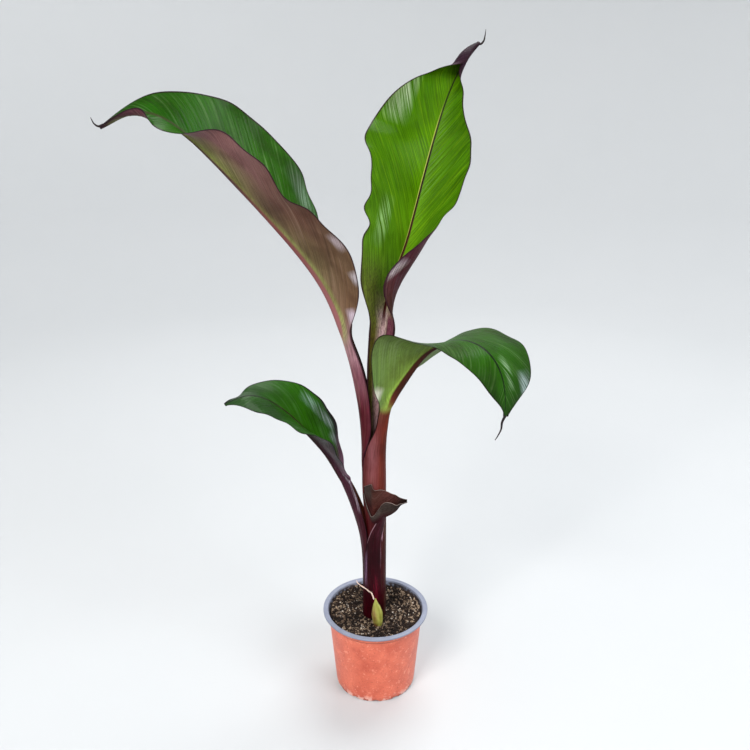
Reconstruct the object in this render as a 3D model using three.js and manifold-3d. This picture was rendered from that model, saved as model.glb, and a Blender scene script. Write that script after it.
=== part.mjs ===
import * as THREE from 'three';
import { mergeVertices } from 'three/addons/utils/BufferGeometryUtils.js';
import Module from 'manifold-3d';

const wasm = await Module();
wasm.setup();

// A young banana plant in a round nursery pot. Millimetres, +Z up, origin at the centre of the pot's
// underside. The pot's rim is 120 mm across, and the plant reaches about 0.7 m.

const clearance = 0.3;
const weldDistance = 0.0001;
const boxMargin = 1;
const leastCurl = 0.001;

const pot = {
  height: 97,
  rimRadius: 60,
  rimInner: 54.6,
  rimThickness: 2.2,
  topRadius: 55,
  ledgeDrop: 10,
  ledgeRound: 0.8,
  ledgeUnder: 53.2,
  ledgeOver: 54.2,
  footRadius: 45.6,
  footRound: 3,
  footBevel: 0.9,
  wall: 1.6,
  floor: 4,
  floorRound: 2,
  innerFoot: 44.3,
  notches: 12,
  notchWidth: 7,
  notchHeight: 1.8,
  notchReach: 3.4,
  sides: 48,
};

const soil = {
  level: 88,
  bottom: 7,
  bevel: 1,
  wallGap: 0.45,
  edgeDrop: 3,
  bank: 5.4,
  relief: 0.9,
  waves: [[3, 0.6, 1], [5, -1.1, 0.7]],
  waveDrop: 0.6,
  stemSeat: 24,
  flatRadius: 19.2,
  rings: 4,
  sides: 32,
};

// The stem is made of leaf sheaths round one another. Its core is what the outer sheaths leave free.
const stem = {
  foot: [-0.9, 0],
  head: [-1.8, 0],
  top: 283,
  radius: [[0, 11], [0.35, 11.2], [0.72, 12.6], [0.85, 13.1], [1, 13.1]],
  rings: 14,
  sides: 28,
};

// A leaf of a banana plant is a sheath, a channelled stalk and a blade, all with one rule: a line runs along
// the bottom of its groove, and on each side of it a half bends up from the line. Along the line, keys of
// [place, value] give the half's width, its lift above flat at the line, and the curl that it gains by its
// margin, in degrees. "lean" is the compass direction that the leaf's back faces, and "body" is the
// thickness at the line.

const upperLeftStalk = {
  points: [[-12.5, 0, 283.3], [-12.4, 0, 296], [-12.6, 0, 312], [-13.5, 0, 330], [-15.5, 0, 356],
    [-20.5, -1, 390], [-29, -2, 426]],
  lean: [[0, 165], [0.3, 175], [1, 182]],
  body: [[0, 2.4], [0.3, 3], [0.6, 5], [1, 6.5]],
  margin: 1.8,
  left: { width: [[0, 6.5], [0.1, 9.5], [0.16, 13.4], [0.3, 15.5], [0.6, 14], [1, 8]], lift: [[0, 0]],
    curl: [[0, 32], [0.1, 47], [0.16, 66], [0.3, 95], [0.6, 100], [1, 60]] },
  right: { width: [[0, 17], [0.35, 15], [0.6, 13], [1, 8]], lift: [[0, 0]],
    curl: [[0, 80], [0.6, 100], [1, 60]] },
};

const upperLeftBlade = {
  line: {
    start: [-29, -2, 426],
    length: 331,
    climb: [[0, 70.5], [0.1, 67], [0.25, 54.5], [0.4, 49.5], [0.6, 48], [0.75, 42], [0.82, 28], [0.88, 2],
      [0.93, -20], [0.97, -28], [1, -22]],
    turn: [[0, 187]],
  },
  lean: [[0, 180]],
  body: [[0, 6.5], [0.1, 5], [0.2, 4.4], [0.4, 3.6], [1, 3.4]],
  left: {
    width: 57,
    shape: [0.6, 0.85],
    base: 8,
    trim: [[0, 0.62], [0.1, 0.88], [0.17, 1.03], [0.24, 1.08], [0.31, 1.01], [0.38, 0.98], [0.44, 0.86],
      [0.5, 0.95], [0.56, 1.14], [0.63, 1.07], [0.7, 1], [0.78, 0.62], [0.82, 0.6], [0.87, 0.75], [1, 0.4]],
    lift: [[0, 0], [0.07, 56], [0.2, 53], [0.35, 49], [0.5, 40], [0.6, 40], [0.66, 36], [0.72, 26],
      [0.75, 10], [0.79, -16], [0.83, -26], [0.87, -55], [0.93, -50], [1, 0]],
    curl: [[0, 60], [0.07, 0], [0.6, 0], [0.7, 20], [0.76, 0], [0.82, 0], [0.85, 60], [0.88, 160],
      [0.95, 120], [1, 60]],
  },
  right: {
    width: 66,
    shape: [0.5, 0.8],
    base: 8,
    trim: [[0, 1], [0.2, 1.08], [0.35, 1.09], [0.5, 1.09], [0.6, 1.09], [0.7, 1.1], [0.77, 0.98],
      [0.83, 0.75], [0.9, 0.62], [1, 0.5]],
    lift: [[0, 0], [0.07, 6], [0.2, 10], [0.35, 25], [0.5, 44], [0.62, 50], [0.75, 60], [0.85, 56],
      [0.92, 40], [1, 30]],
    curl: [[0, 60], [0.07, 0]],
  },
  splitAt: 0.6,
};

const uprightStalk = {
  points: [[1, -3, 283.3], [1, -2, 320], [1.5, 0, 360], [4, 3, 400], [8, 8, 437]],
  lean: [[0, 90]],
  body: [[0, 6], [0.5, 5], [1, 6]],
  margin: 1.8,
  left: { width: [[0, 9], [0.5, 13], [1, 17]], lift: [[0, 0]], curl: [[0, 100], [1, 70]] },
  right: { width: [[0, 9], [0.5, 14], [1, 20]], lift: [[0, 0]], curl: [[0, 100], [1, 105]] },
};

const uprightBlade = {
  line: {
    start: [8, 8, 437],
    length: 304,
    climb: [[0, 71], [0.1, 64], [0.2, 60], [0.35, 66], [0.7, 64], [0.85, 56], [1, 41]],
    turn: [[0, 80], [0.1, 52], [0.2, 42], [0.35, 52], [0.6, 51], [0.8, 44], [1, 30]],
  },
  lean: [[0, 90]],
  body: [[0, 6], [0.2, 4.5], [0.5, 3.4], [1, 3.2]],
  left: {
    width: 72,
    shape: [0.5, 0.6],
    base: 17,
    trim: [[0, 0.9], [0.1, 0.97], [0.22, 0.94], [0.29, 0.87], [0.325, 1], [0.345, 0.99], [0.375, 0.9],
      [0.42, 0.905], [0.46, 0.875], [0.5, 0.93], [0.57, 1.05], [0.6, 1], [0.66, 0.97], [0.72, 0.93],
      [0.8, 0.74], [0.845, 0.5], [0.87, 0.6], [0.93, 0.82], [1, 0.8]],
    lift: [[0, 0], [0.07, 50], [0.2, 48], [0.37, 44], [0.58, 20], [0.68, 0], [0.8, 5], [1, 10]],
    curl: [[0, 70], [0.07, 0], [0.82, 8], [0.845, 40], [0.875, 185], [1, 200]],
  },
  right: {
    width: 46,
    shape: [0.5, 0.6],
    base: 20,
    trim: [[0, 1], [0.1, 1.35], [0.2, 1.35], [0.3, 1.12], [0.4, 1], [0.58, 1.05], [0.66, 0.94], [0.74, 0.66],
      [0.8, 0.5], [1, 0.5]],
    lift: [[0, 0], [0.1, 30], [0.4, 20]],
    curl: [[0, 105], [0.1, 145], [0.2, 122], [0.3, 82], [0.4, 45], [0.5, 20], [0.8, 20], [0.87, 140],
      [1, 200]],
  },
};

const rightStalk = {
  points: [[6.7, -7.2, 283.3], [6.9, -7.3, 295], [7.4, -8.5, 312], [8, -10.5, 328], [8.4, -12.3, 342],
    [10, -14, 355]],
  lean: [[0, 320], [0.5, 325], [1, 345]],
  body: [[0, 2.4], [0.4, 3.5], [0.7, 6], [1, 8]],
  margin: 1.8,
  left: { width: [[0, 18], [0.35, 16], [0.7, 11], [1, 8]], lift: [[0, 0]],
    curl: [[0, 90], [0.6, 100], [1, 70]] },
  right: { width: [[0, 24.5], [0.15, 20], [0.35, 17], [0.6, 10], [0.8, 8], [1, 8]], lift: [[0, 0]],
    curl: [[0, 121], [0.15, 99], [0.6, 60], [1, 60]] },
};

const rightBlade = {
  line: {
    start: [10, -14, 355],
    length: 210,
    climb: [[0, 60], [0.1, 56], [0.2, 56], [0.3, 52], [0.4, 36], [0.5, 16], [0.6, -11], [0.7, -35],
      [0.8, -56], [0.9, -70], [1, -77]],
    turn: [[0, 344], [0.3, 345], [0.5, 336], [0.6, 328], [0.8, 304], [0.9, 282], [1, 254]],
  },
  lean: [[0, 0], [0.4, -8], [0.6, -18], [0.8, -36], [1, -45]],
  body: [[0, 8], [0.1, 6], [0.25, 4], [0.4, 3], [1, 2.4]],
  left: {
    width: 60,
    shape: [0.6, 0.56],
    base: 8,
    trim: [[0, 1], [0.56, 1.04], [0.6, 1.1], [0.63, 1.05], [0.68, 1.12], [0.74, 1.05], [0.85, 1],
      [0.93, 0.75], [0.97, 0.55], [1, 0.15]],
    lift: [[0, 0], [0.1, 0], [0.2, -18], [0.3, -22], [0.4, -16], [0.5, -9], [0.6, -3], [0.7, 5]],
    curl: [[0, 70], [0.1, 0]],
  },
  right: {
    width: 54,
    shape: [0.52, 0.85],
    base: 8,
    trim: [[0, 0.8], [0.15, 0.88], [0.3, 1], [0.9, 1], [1, 0.3]],
    lift: [[0, 0], [0.07, 54], [0.2, 66], [0.3, 70], [0.35, 55], [0.4, 33], [0.45, 22], [0.5, 13], [0.6, -4],
      [0.7, -12], [0.8, -12], [1, -5]],
    curl: [[0, 60], [0.07, 0]],
  },
  splitAt: 0.44,
};

const lowerLeftStalk = {
  points: [[-12.6, 1, 88.3], [-12.6, 1, 157], [-14, 0, 181], [-17, -1, 204], [-25, -3, 238], [-33, -6, 264]],
  lean: [[0, 172], [0.4, 176], [0.6, 186], [1, 205]],
  body: [[0, 1.8], [0.5, 2.2], [0.8, 4], [1, 5]],
  margin: 1.6,
  left: { width: [[0, 4], [0.35, 5], [0.6, 12], [0.8, 10], [1, 8]], lift: [[0, 0]],
    curl: [[0, 20], [0.35, 25], [0.6, 58], [0.8, 60], [1, 60]] },
  right: { width: [[0, 18], [0.35, 18], [0.6, 17], [0.8, 17], [1, 15]], lift: [[0, 0]],
    curl: [[0, 89], [0.35, 89], [0.6, 90], [0.8, 75], [1, 60]] },
};

const lowerLeftBlade = {
  line: {
    start: [-33, -6, 264],
    length: 184,
    climb: [[0, 63], [0.15, 61], [0.3, 53], [0.5, 51], [0.6, 47], [0.7, 40], [0.8, 26], [0.88, 0], [1, -26]],
    turn: [[0, 207]],
  },
  lean: [[0, 205]],
  body: [[0, 5], [0.2, 4], [0.5, 2.6], [1, 2]],
  left: {
    width: 38,
    shape: [0.5, 0.6],
    base: 8,
    trim: [[0, 1], [0.5, 0.97], [0.7, 1], [0.85, 1.25], [0.93, 1.3], [1, 0.6]],
    lift: [[0, 0], [0.07, 6], [0.25, 6], [0.37, 16], [0.45, 10], [0.55, -3], [0.7, -12], [0.85, -12],
      [1, 0]],
    curl: [[0, 60], [0.07, 0]],
  },
  right: {
    width: 42,
    shape: [0.6, 0.78],
    base: 15,
    trim: [[0, 0.6], [0.12, 0.75], [0.25, 0.97], [0.5, 1.05], [0.75, 1], [0.85, 0.85], [1, 0.5]],
    lift: [[0, 0], [0.09, 48], [0.3, 52], [0.4, 52], [0.5, 50], [0.6, 44], [0.7, 28], [0.8, 5], [0.9, -15]],
    curl: [[0, 60], [0.07, 0]],
  },
};

// The outermost leaf has died: its sheath still wraps the foot, and its shrunken blade hangs in two folds
const witheredSheath = {
  points: [[0, -11.6, 88.3], [-0.8, -11.6, 150], [-0.4, -11.6, 172], [1, -11.8, 199], [4.6, -14.5, 214],
    [8, -19.5, 229], [11, -23.2, 243]],
  lean: [[0, 275], [0.4, 271], [0.55, 273], [0.75, 280], [1, 300]],
  body: [[0, 1.8], [0.7, 2.2], [1, 2.6]],
  margin: 1.6,
  left: { width: [[0, 18], [0.4, 16], [0.55, 12.4], [0.72, 7.4], [0.85, 5], [1, 3]], lift: [[0, 0]],
    curl: [[0, 89], [0.4, 79], [0.55, 61], [0.72, 32], [1, 40]] },
  right: { width: [[0, 18], [0.4, 16], [0.55, 12.4], [0.72, 6.5], [0.85, 4], [1, 3]], lift: [[0, 0]],
    curl: [[0, 89], [0.4, 79], [0.55, 61], [0.72, 32], [1, 40]] },
};

const witheredBlade = {
  points: [[-12.5, -8.5, 248], [-10, -11.6, 236], [-6, -14.2, 225], [-2, -15.6, 216.5], [3, -16, 219],
    [9, -16.8, 224.5], [16, -18, 229], [22, -18, 234], [27, -17, 240.5], [34, -16, 243]],
  upright: true,
  rows: 20,
  lean: [[0, 0]],
  body: [[0, 1.4]],
  margin: 1.3,
  left: {
    width: [[0, 9], [0.15, 23.5], [0.3, 37.5], [0.38, 45], [0.42, 40], [0.5, 37], [0.6, 31], [0.7, 24],
      [0.8, 17], [0.9, 7], [1, 2]],
    lift: [[0, 90], [0.42, 92], [0.5, 86], [0.7, 80], [1, 60]],
    curl: [[0, 0]],
  },
  right: {
    width: [[0, 2], [0.35, 3], [0.45, 14], [0.55, 23], [0.65, 25], [0.75, 21], [0.85, 13], [0.95, 5],
      [1, 2]],
    lift: [[0, 60], [1, 20]],
    curl: [[0, 40], [0.6, 70], [1, 0]],
  },
};

const bud = {
  foot: [3, -20.6, 88.4],
  tip: [0, -19.8, 122],
  radius: [[0, 3.2], [0.2, 5.6], [0.42, 6.2], [0.7, 3.9], [0.9, 1.7], [1, 0.9]],
  rings: 9,
  sides: 14,
};

const dryRoot = {
  points: [[-2, -20.6, 121.5], [-5, -21.5, 131], [-11, -23.5, 138], [-19.5, -25.5, 146]],
  radius: 0.8,
  rings: 8,
  sides: 6,
};

const leafGrid = {
  stalkRows: 12,
  bladeRows: 25,
  halfColumns: 4,
  thinnest: 0.0102,
  thinnestMargin: 1.2,
  ribColumns: 1.5,
  tipHalf: 1.4,
  baseFade: 0.1,
  lengthDivisions: 600,
};

function keyed(keys, s) {
  // A smooth value at place s through the keys, by a monotone cubic
  const n = keys.length;
  if (s <= keys[0][0] || n === 1) return keys[0][1];
  if (s >= keys[n - 1][0]) return keys[n - 1][1];
  const slope = (i) => (keys[i + 1][1] - keys[i][1]) / (keys[i + 1][0] - keys[i][0]);
  const tangent = (i) => {
    if (i === 0) return slope(0);
    if (i === n - 1) return slope(n - 2);
    const before = slope(i - 1);
    const after = slope(i);
    return before * after <= 0 ? 0 : (2 * before * after) / (before + after);
  };
  let i = 0;
  while (keys[i + 1][0] < s) i += 1;
  const h = keys[i + 1][0] - keys[i][0];
  const t = (s - keys[i][0]) / h;
  const early = (2 * t ** 3 - 3 * t ** 2 + 1) * keys[i][1] + (t ** 3 - 2 * t ** 2 + t) * h * tangent(i);
  const late = (3 * t ** 2 - 2 * t ** 3) * keys[i + 1][1] + (t ** 3 - t ** 2) * h * tangent(i + 1);
  return early + late;
}

const radians = (degrees) => (degrees * Math.PI) / 180;

function climbingLine({ start, length, climb, turn }, rows) {
  // Evenly spaced points of a line that climbs and turns by keyed angles
  const steps = 12;
  const step = length / (rows * steps);
  const place = new THREE.Vector3(...start);
  const line = [place.clone()];
  for (let i = 0; i < rows * steps; i += 1) {
    const s = (i + 0.5) / (rows * steps);
    const up = radians(keyed(climb, s));
    const round = radians(keyed(turn, s));
    place.x += step * Math.cos(up) * Math.cos(round);
    place.y += step * Math.cos(up) * Math.sin(round);
    place.z += step * Math.sin(up);
    if ((i + 1) % steps === 0) line.push(place.clone());
  }
  return line;
}

function splineLine(points, rows) {
  const curve = new THREE.CatmullRomCurve3(points.map((p) => new THREE.Vector3(...p)), false, 'centripetal');
  curve.arcLengthDivisions = leafGrid.lengthDivisions;
  return curve.getSpacedPoints(rows);
}

function outline(s, [rise, fall]) {
  // A blade's half width over its greatest, from 0 at the base to 0 at the tip
  const peak = rise / (rise + fall);
  return (s / peak) ** rise * ((1 - s) / (1 - peak)) ** fall;
}

function bladeWidth(half, s) {
  const trim = half.trim ? keyed(half.trim, s) : 1;
  const fromStalk = half.base * (1 - THREE.MathUtils.smoothstep(s, 0, leafGrid.baseFade));
  return Math.max(half.width * trim * outline(s, half.shape), fromStalk, leafGrid.tipHalf);
}

function frames(line, lean, upright = false) {
  // At each point of a line: the way across it, to the right of the lean, and the way its groove opens.
  // Upright frames stay level across, whichever way the line climbs.
  const rows = line.length - 1;
  return line.map((point, i) => {
    const tangent = line[Math.min(i + 1, rows)].clone().sub(line[Math.max(i - 1, 0)]).normalize();
    const round = radians(keyed(lean, i / rows));
    const side = new THREE.Vector3(Math.sin(round), -Math.cos(round), 0);
    if (upright) return { point, side, up: new THREE.Vector3(0, 0, 1) };
    side.addScaledVector(tangent, -side.dot(tangent)).normalize();
    return { point, side, up: side.clone().cross(tangent) };
  });
}

function leafSection(frame, half, s, width, away, columns) {
  // Points of one half, from beside the line to the margin
  const lift = radians(keyed(half.lift, s));
  const curl = radians(keyed(half.curl, s)) || leastCurl;
  const points = [];
  for (let j = 1; j <= columns; j += 1) {
    const angle = lift + (curl * j) / columns;
    const out = ((Math.sin(angle) - Math.sin(lift)) / curl) * width;
    const rise = ((Math.cos(lift) - Math.cos(angle)) / curl) * width;
    points.push(frame.point.clone().addScaledVector(frame.side, away * out).addScaledVector(frame.up, rise));
  }
  return points;
}

function leafGridOf(leaf, rows) {
  // The upper face as rows of points from the left margin over the line to the right margin
  const line = leaf.line ? climbingLine(leaf.line, rows) : splineLine(leaf.points, rows);
  const widthOf = (half, s) => (leaf.line ? bladeWidth(half, s) : keyed(half.width, s));
  return frames(line, leaf.lean, leaf.upright).map((frame, i) => {
    const s = i / rows;
    const left = leafSection(frame, leaf.left, s, widthOf(leaf.left, s), -1, leafGrid.halfColumns);
    const right = leafSection(frame, leaf.right, s, widthOf(leaf.right, s), 1, leafGrid.halfColumns);
    return [...left.reverse(), frame.point, ...right];
  });
}

function gridNormals(grid) {
  const last = grid.length - 1;
  return grid.map((row, i) => row.map((point, j) => {
    const along = grid[Math.min(i + 1, last)][j].clone().sub(grid[Math.max(i - 1, 0)][j]);
    const across = row[Math.min(j + 1, row.length - 1)].clone().sub(row[Math.max(j - 1, 0)]);
    return across.cross(along).normalize();
  }));
}

function slab(grid, thickness) {
  // A closed solid between a grid and the same grid moved back by the thickness at each point
  const rows = grid.length;
  const columns = grid[0].length;
  const normals = gridNormals(grid);
  const positions = [];
  for (const under of [false, true]) {
    grid.forEach((row, i) => row.forEach((point, j) => {
      const place = under ? point.clone().addScaledVector(normals[i][j], -thickness(i, j)) : point;
      positions.push(place.x, place.y, place.z);
    }));
  }
  const upper = (i, j) => i * columns + j;
  const lower = (i, j) => rows * columns + upper(i, j);
  const index = [];
  const quad = (a, b, c, d) => index.push(a, b, c, a, c, d);
  for (let i = 0; i + 1 < rows; i += 1) {
    for (let j = 0; j + 1 < columns; j += 1) {
      quad(upper(i, j), upper(i, j + 1), upper(i + 1, j + 1), upper(i + 1, j));
      quad(lower(i, j), lower(i + 1, j), lower(i + 1, j + 1), lower(i, j + 1));
    }
    quad(upper(i, 0), upper(i + 1, 0), lower(i + 1, 0), lower(i, 0));
    quad(upper(i + 1, columns - 1), upper(i, columns - 1), lower(i, columns - 1), lower(i + 1, columns - 1));
  }
  for (let j = 0; j + 1 < columns; j += 1) {
    quad(upper(0, j + 1), upper(0, j), lower(0, j), lower(0, j + 1));
    quad(upper(rows - 1, j), upper(rows - 1, j + 1), lower(rows - 1, j + 1), lower(rows - 1, j));
  }
  return indexed(positions, index);
}

function indexed(positions, index) {
  const geometry = new THREE.BufferGeometry();
  geometry.setAttribute('position', new THREE.Float32BufferAttribute(positions, 3));
  geometry.setIndex(index);
  return geometry;
}

function leafSolid(leaf, rows, from = 0, to = 1) {
  // The leaf's solid between two places of its line, thick at the line and thin at the margins
  const first = Math.round(from * rows);
  const last = Math.round(to * rows);
  const grid = leafGridOf(leaf, rows).slice(first, last + 1);
  const middle = leafGrid.halfColumns;
  const margin = leaf.margin ?? Math.max(leafGrid.thinnest * leaf.line.length, leafGrid.thinnestMargin);
  const bodyColumns = leaf.line ? leafGrid.ribColumns : middle;
  return slab(grid, (i, j) => {
    const nearLine = Math.max(0, 1 - Math.abs(j - middle) / bodyColumns);
    const body = Math.max(keyed(leaf.body, (first + i) / rows), margin);
    return margin + (body - margin) * nearLine;
  });
}

function ringsSolid(rings) {
  // A closed solid through rings of equally many points, with flat ends
  const sides = rings[0].length;
  const positions = rings.flat().flatMap((p) => [p.x, p.y, p.z]);
  const index = [];
  for (let i = 0; i + 1 < rings.length; i += 1) {
    for (let k = 0; k < sides; k += 1) {
      const a = i * sides + k;
      const b = i * sides + ((k + 1) % sides);
      index.push(a, b, b + sides, a, b + sides, a + sides);
    }
  }
  const last = (rings.length - 1) * sides;
  for (let k = 1; k + 1 < sides; k += 1) {
    index.push(0, k + 1, k);
    index.push(last, last + k, last + k + 1);
  }
  return indexed(positions, index);
}

function roundLimb(line, radiusAt, sides) {
  // A round limb along a line of points
  const rows = line.length - 1;
  return ringsSolid(frames(line, [[0, 90]]).map(({ point, side, up }, i) => {
    const ring = [];
    for (let k = 0; k < sides; k += 1) {
      const angle = (2 * Math.PI * k) / sides;
      const radius = radiusAt(i / rows);
      ring.push(point.clone().addScaledVector(side, radius * Math.cos(angle))
        .addScaledVector(up, -radius * Math.sin(angle)));
    }
    return ring;
  }));
}

function straightLine(start, end, rows) {
  const from = new THREE.Vector3(...start);
  const to = new THREE.Vector3(...end);
  return Array.from({ length: rows + 1 }, (_, i) => from.clone().lerp(to, i / rows));
}

// Solids of the boolean library, from and to geometries

function toSolid(geometry) {
  const plain = geometry.clone();
  plain.deleteAttribute('normal');
  plain.deleteAttribute('uv');
  const merged = mergeVertices(plain, weldDistance);
  return new wasm.Manifold(new wasm.Mesh({
    numProp: 3,
    vertProperties: new Float32Array(merged.attributes.position.array),
    triVerts: new Uint32Array(merged.index.array),
  }));
}

function toGeometry(solid) {
  const mesh = solid.getMesh();
  return indexed([...mesh.vertProperties], [...mesh.triVerts]);
}

function grown(solid, by) {
  // The solid with each vertex moved out along its normal
  const geometry = toGeometry(solid);
  geometry.computeVertexNormals();
  const { position, normal } = geometry.attributes;
  for (let i = 0; i < position.count; i += 1) {
    position.setXYZ(i, position.getX(i) + by * normal.getX(i), position.getY(i) + by * normal.getY(i),
      position.getZ(i) + by * normal.getZ(i));
  }
  return toSolid(geometry);
}

function largest(solid) {
  return solid.decompose().reduce((a, b) => (a.volume() >= b.volume() ? a : b));
}

function boxesMeet(a, b) {
  const p = a.boundingBox();
  const q = b.boundingBox();
  return [0, 1, 2].every((k) => p.min[k] - boxMargin < q.max[k] && q.min[k] - boxMargin < p.max[k]);
}

// Pot and soil

function potSolid() {
  const ledge = pot.height - pot.ledgeDrop;
  const under = pot.height - pot.rimThickness;
  const profile = [
    [0, 0], [pot.footRadius - pot.footRound, 0], [pot.footRadius - pot.footBevel, pot.footBevel],
    [pot.footRadius, pot.footRound], [pot.ledgeUnder, ledge], [pot.ledgeOver, ledge + pot.ledgeRound],
    [pot.topRadius, under], [pot.rimRadius, under], [pot.rimRadius, pot.height], [pot.rimInner, pot.height],
    [pot.topRadius - pot.wall, under], [pot.innerFoot, pot.floor + pot.floorRound], [0, pot.floor],
  ];
  const body = new THREE.LatheGeometry(profile.map(([r, z]) => new THREE.Vector2(r, z)), pot.sides);
  body.rotateX(Math.PI / 2);
  let solid = toSolid(body);
  for (let k = 0; k < pot.notches; k += 1) {
    const notch = new THREE.BoxGeometry(2 * pot.notchReach, pot.notchWidth, 2 * pot.notchHeight);
    notch.translate(pot.footRadius, 0, 0);
    notch.rotateZ((2 * Math.PI * k) / pot.notches);
    solid = solid.subtract(toSolid(notch));
  }
  return solid;
}

function soilHeight(radius, angle, reach) {
  // Nearly flat round the stem, and banked up unevenly towards the wall by waves of [turns, start, top]
  const away = THREE.MathUtils.smoothstep(radius, soil.stemSeat, reach);
  const wave = soil.waves.map(([turns, start, top]) => top * Math.sin(turns * angle + start))
    .reduce((sum, height) => sum + height);
  return soil.level - clearance + away * (soil.bank + soil.relief * (wave - soil.waveDrop));
}

function soilSolid() {
  const low = pot.floor + pot.floorRound;
  const high = pot.height - pot.rimThickness;
  const inner = (z) => {
    const t = (z - low) / (high - low);
    return THREE.MathUtils.lerp(pot.innerFoot, pot.topRadius - pot.wall, t) - soil.wallGap;
  };
  const circle = (radius, height) => Array.from({ length: soil.sides }, (_, k) => {
    const angle = (2 * Math.PI * k) / soil.sides;
    return new THREE.Vector3(radius * Math.cos(angle), radius * Math.sin(angle), height(angle));
  });
  const top = inner(soil.level - soil.edgeDrop);
  const shoulder = soil.bottom + soil.bevel;
  const rings = [circle(inner(soil.bottom) - soil.bevel, () => soil.bottom),
    circle(inner(shoulder), () => shoulder), circle(top, (angle) => soilHeight(top, angle, top))];
  for (let i = soil.rings; i >= 1; i -= 1) {
    const radius = THREE.MathUtils.lerp(soil.flatRadius, top, (i - 0.5) / soil.rings);
    rings.push(circle(radius, (angle) => soilHeight(radius, angle, top)));
  }
  return toSolid(ringsSolid(rings));
}

function stemSolid() {
  const line = straightLine([...stem.foot, soil.level], [...stem.head, stem.top], stem.rings);
  return toSolid(roundLimb(line, (s) => keyed(stem.radius, s), stem.sides));
}

function budSolid() {
  const line = straightLine(bud.foot, bud.tip, bud.rings);
  return toSolid(roundLimb(line, (s) => keyed(bud.radius, s), bud.sides));
}

function dryRootSolid() {
  return toSolid(roundLimb(splineLine(dryRoot.points, dryRoot.rings), () => dryRoot.radius, dryRoot.sides));
}

const stalkSolid = (leaf) => toSolid(leafSolid(leaf, leaf.rows ?? leafGrid.stalkRows));
const bladeSolid = (leaf, from = 0, to = 1) => toSolid(leafSolid(leaf, leafGrid.bladeRows, from, to));
const risingHalf = (leaf) => bladeSolid(leaf, 0, leaf.splitAt);
const hangingHalf = (leaf) => bladeSolid(leaf, leaf.splitAt, 1);

const finishes = {
  potClay: { color: 0xd0664c, roughness: 0.55 },
  soil: { color: 0x3a2b20, roughness: 0.95 },
  stem: { color: 0x7a2c28, roughness: 0.4 },
  darkSheath: { color: 0x3c0d18, roughness: 0.4 },
  blade: { color: 0x3f8a1c, roughness: 0.38 },
  deepBlade: { color: 0x2c6a18, roughness: 0.38 },
  withered: { color: 0x4a4038, roughness: 0.8 },
  bud: { color: 0x8c9a3c, roughness: 0.5 },
  root: { color: 0xd8c4b4, roughness: 0.6 },
};

// Each piece gives way to those before it, which keep their whole shape

const pieces = [
  ['pot', finishes.potClay, potSolid()],
  ['soil', finishes.soil, soilSolid()],
  ['pseudostem', finishes.stem, stemSolid()],
  ['upright_leaf_stalk', finishes.stem, stalkSolid(uprightStalk)],
  ['right_leaf_stalk', finishes.stem, stalkSolid(rightStalk)],
  ['upper_left_leaf_stalk', finishes.stem, stalkSolid(upperLeftStalk)],
  ['lower_left_leaf_sheath_and_stalk', finishes.darkSheath, stalkSolid(lowerLeftStalk)],
  ['withered_leaf_sheath', finishes.darkSheath, stalkSolid(witheredSheath)],
  ['withered_leaf_blade', finishes.withered, stalkSolid(witheredBlade)],
  ['upper_left_leaf_blade_rising_half', finishes.deepBlade, risingHalf(upperLeftBlade)],
  ['upper_left_leaf_blade_tip_half', finishes.deepBlade, hangingHalf(upperLeftBlade)],
  ['upright_leaf_blade', finishes.blade, bladeSolid(uprightBlade)],
  ['right_leaf_blade_rising_half', finishes.deepBlade, risingHalf(rightBlade)],
  ['right_leaf_blade_hanging_half', finishes.deepBlade, hangingHalf(rightBlade)],
  ['lower_left_leaf_blade', finishes.deepBlade, bladeSolid(lowerLeftBlade)],
  ['offshoot_bud', finishes.bud, budSolid()],
  ['dry_root', finishes.root, dryRootSolid()],
];

const plant = new THREE.Group();
const placed = [];
for (const [name, finish, whole] of pieces) {
  let solid = whole;
  for (const other of placed) {
    if (boxesMeet(solid, other)) solid = largest(solid.subtract(grown(other, clearance)));
  }
  placed.push(solid);
  const material = new THREE.MeshStandardMaterial({ ...finish, metalness: 0 });
  const mesh = new THREE.Mesh(toGeometry(solid), material);
  mesh.name = name;
  plant.add(mesh);
}

export default plant;
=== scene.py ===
import math

import bpy
import numpy as np
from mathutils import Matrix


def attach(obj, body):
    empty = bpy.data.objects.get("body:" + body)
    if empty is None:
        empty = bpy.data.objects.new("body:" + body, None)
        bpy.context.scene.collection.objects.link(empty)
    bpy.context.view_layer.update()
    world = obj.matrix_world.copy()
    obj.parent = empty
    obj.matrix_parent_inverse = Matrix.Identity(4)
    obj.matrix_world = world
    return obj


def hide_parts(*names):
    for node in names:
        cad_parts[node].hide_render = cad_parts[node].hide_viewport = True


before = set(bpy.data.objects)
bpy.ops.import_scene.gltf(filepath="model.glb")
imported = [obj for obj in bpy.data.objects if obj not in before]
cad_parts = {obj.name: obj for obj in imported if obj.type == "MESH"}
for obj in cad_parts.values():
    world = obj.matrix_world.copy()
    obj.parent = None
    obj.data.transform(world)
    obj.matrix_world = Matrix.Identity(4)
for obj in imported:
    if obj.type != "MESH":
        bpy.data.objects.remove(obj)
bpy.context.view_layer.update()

# A young banana plant in a round nursery pot. Shapes are worked out in millimetres and made in metres, and
# colours are written as a screen shows them, from 0 to 255.

METRES = 0.001

# The camera's place and angle, worked out from the ellipses of the pot's rim and foot in the photograph
CAMERA = {"place": (-0.5, -804.0, 683.0), "down": 20.5, "focal_pixels": 830.0, "image_pixels": 750.0,
          "sensor": 36.0}

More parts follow.
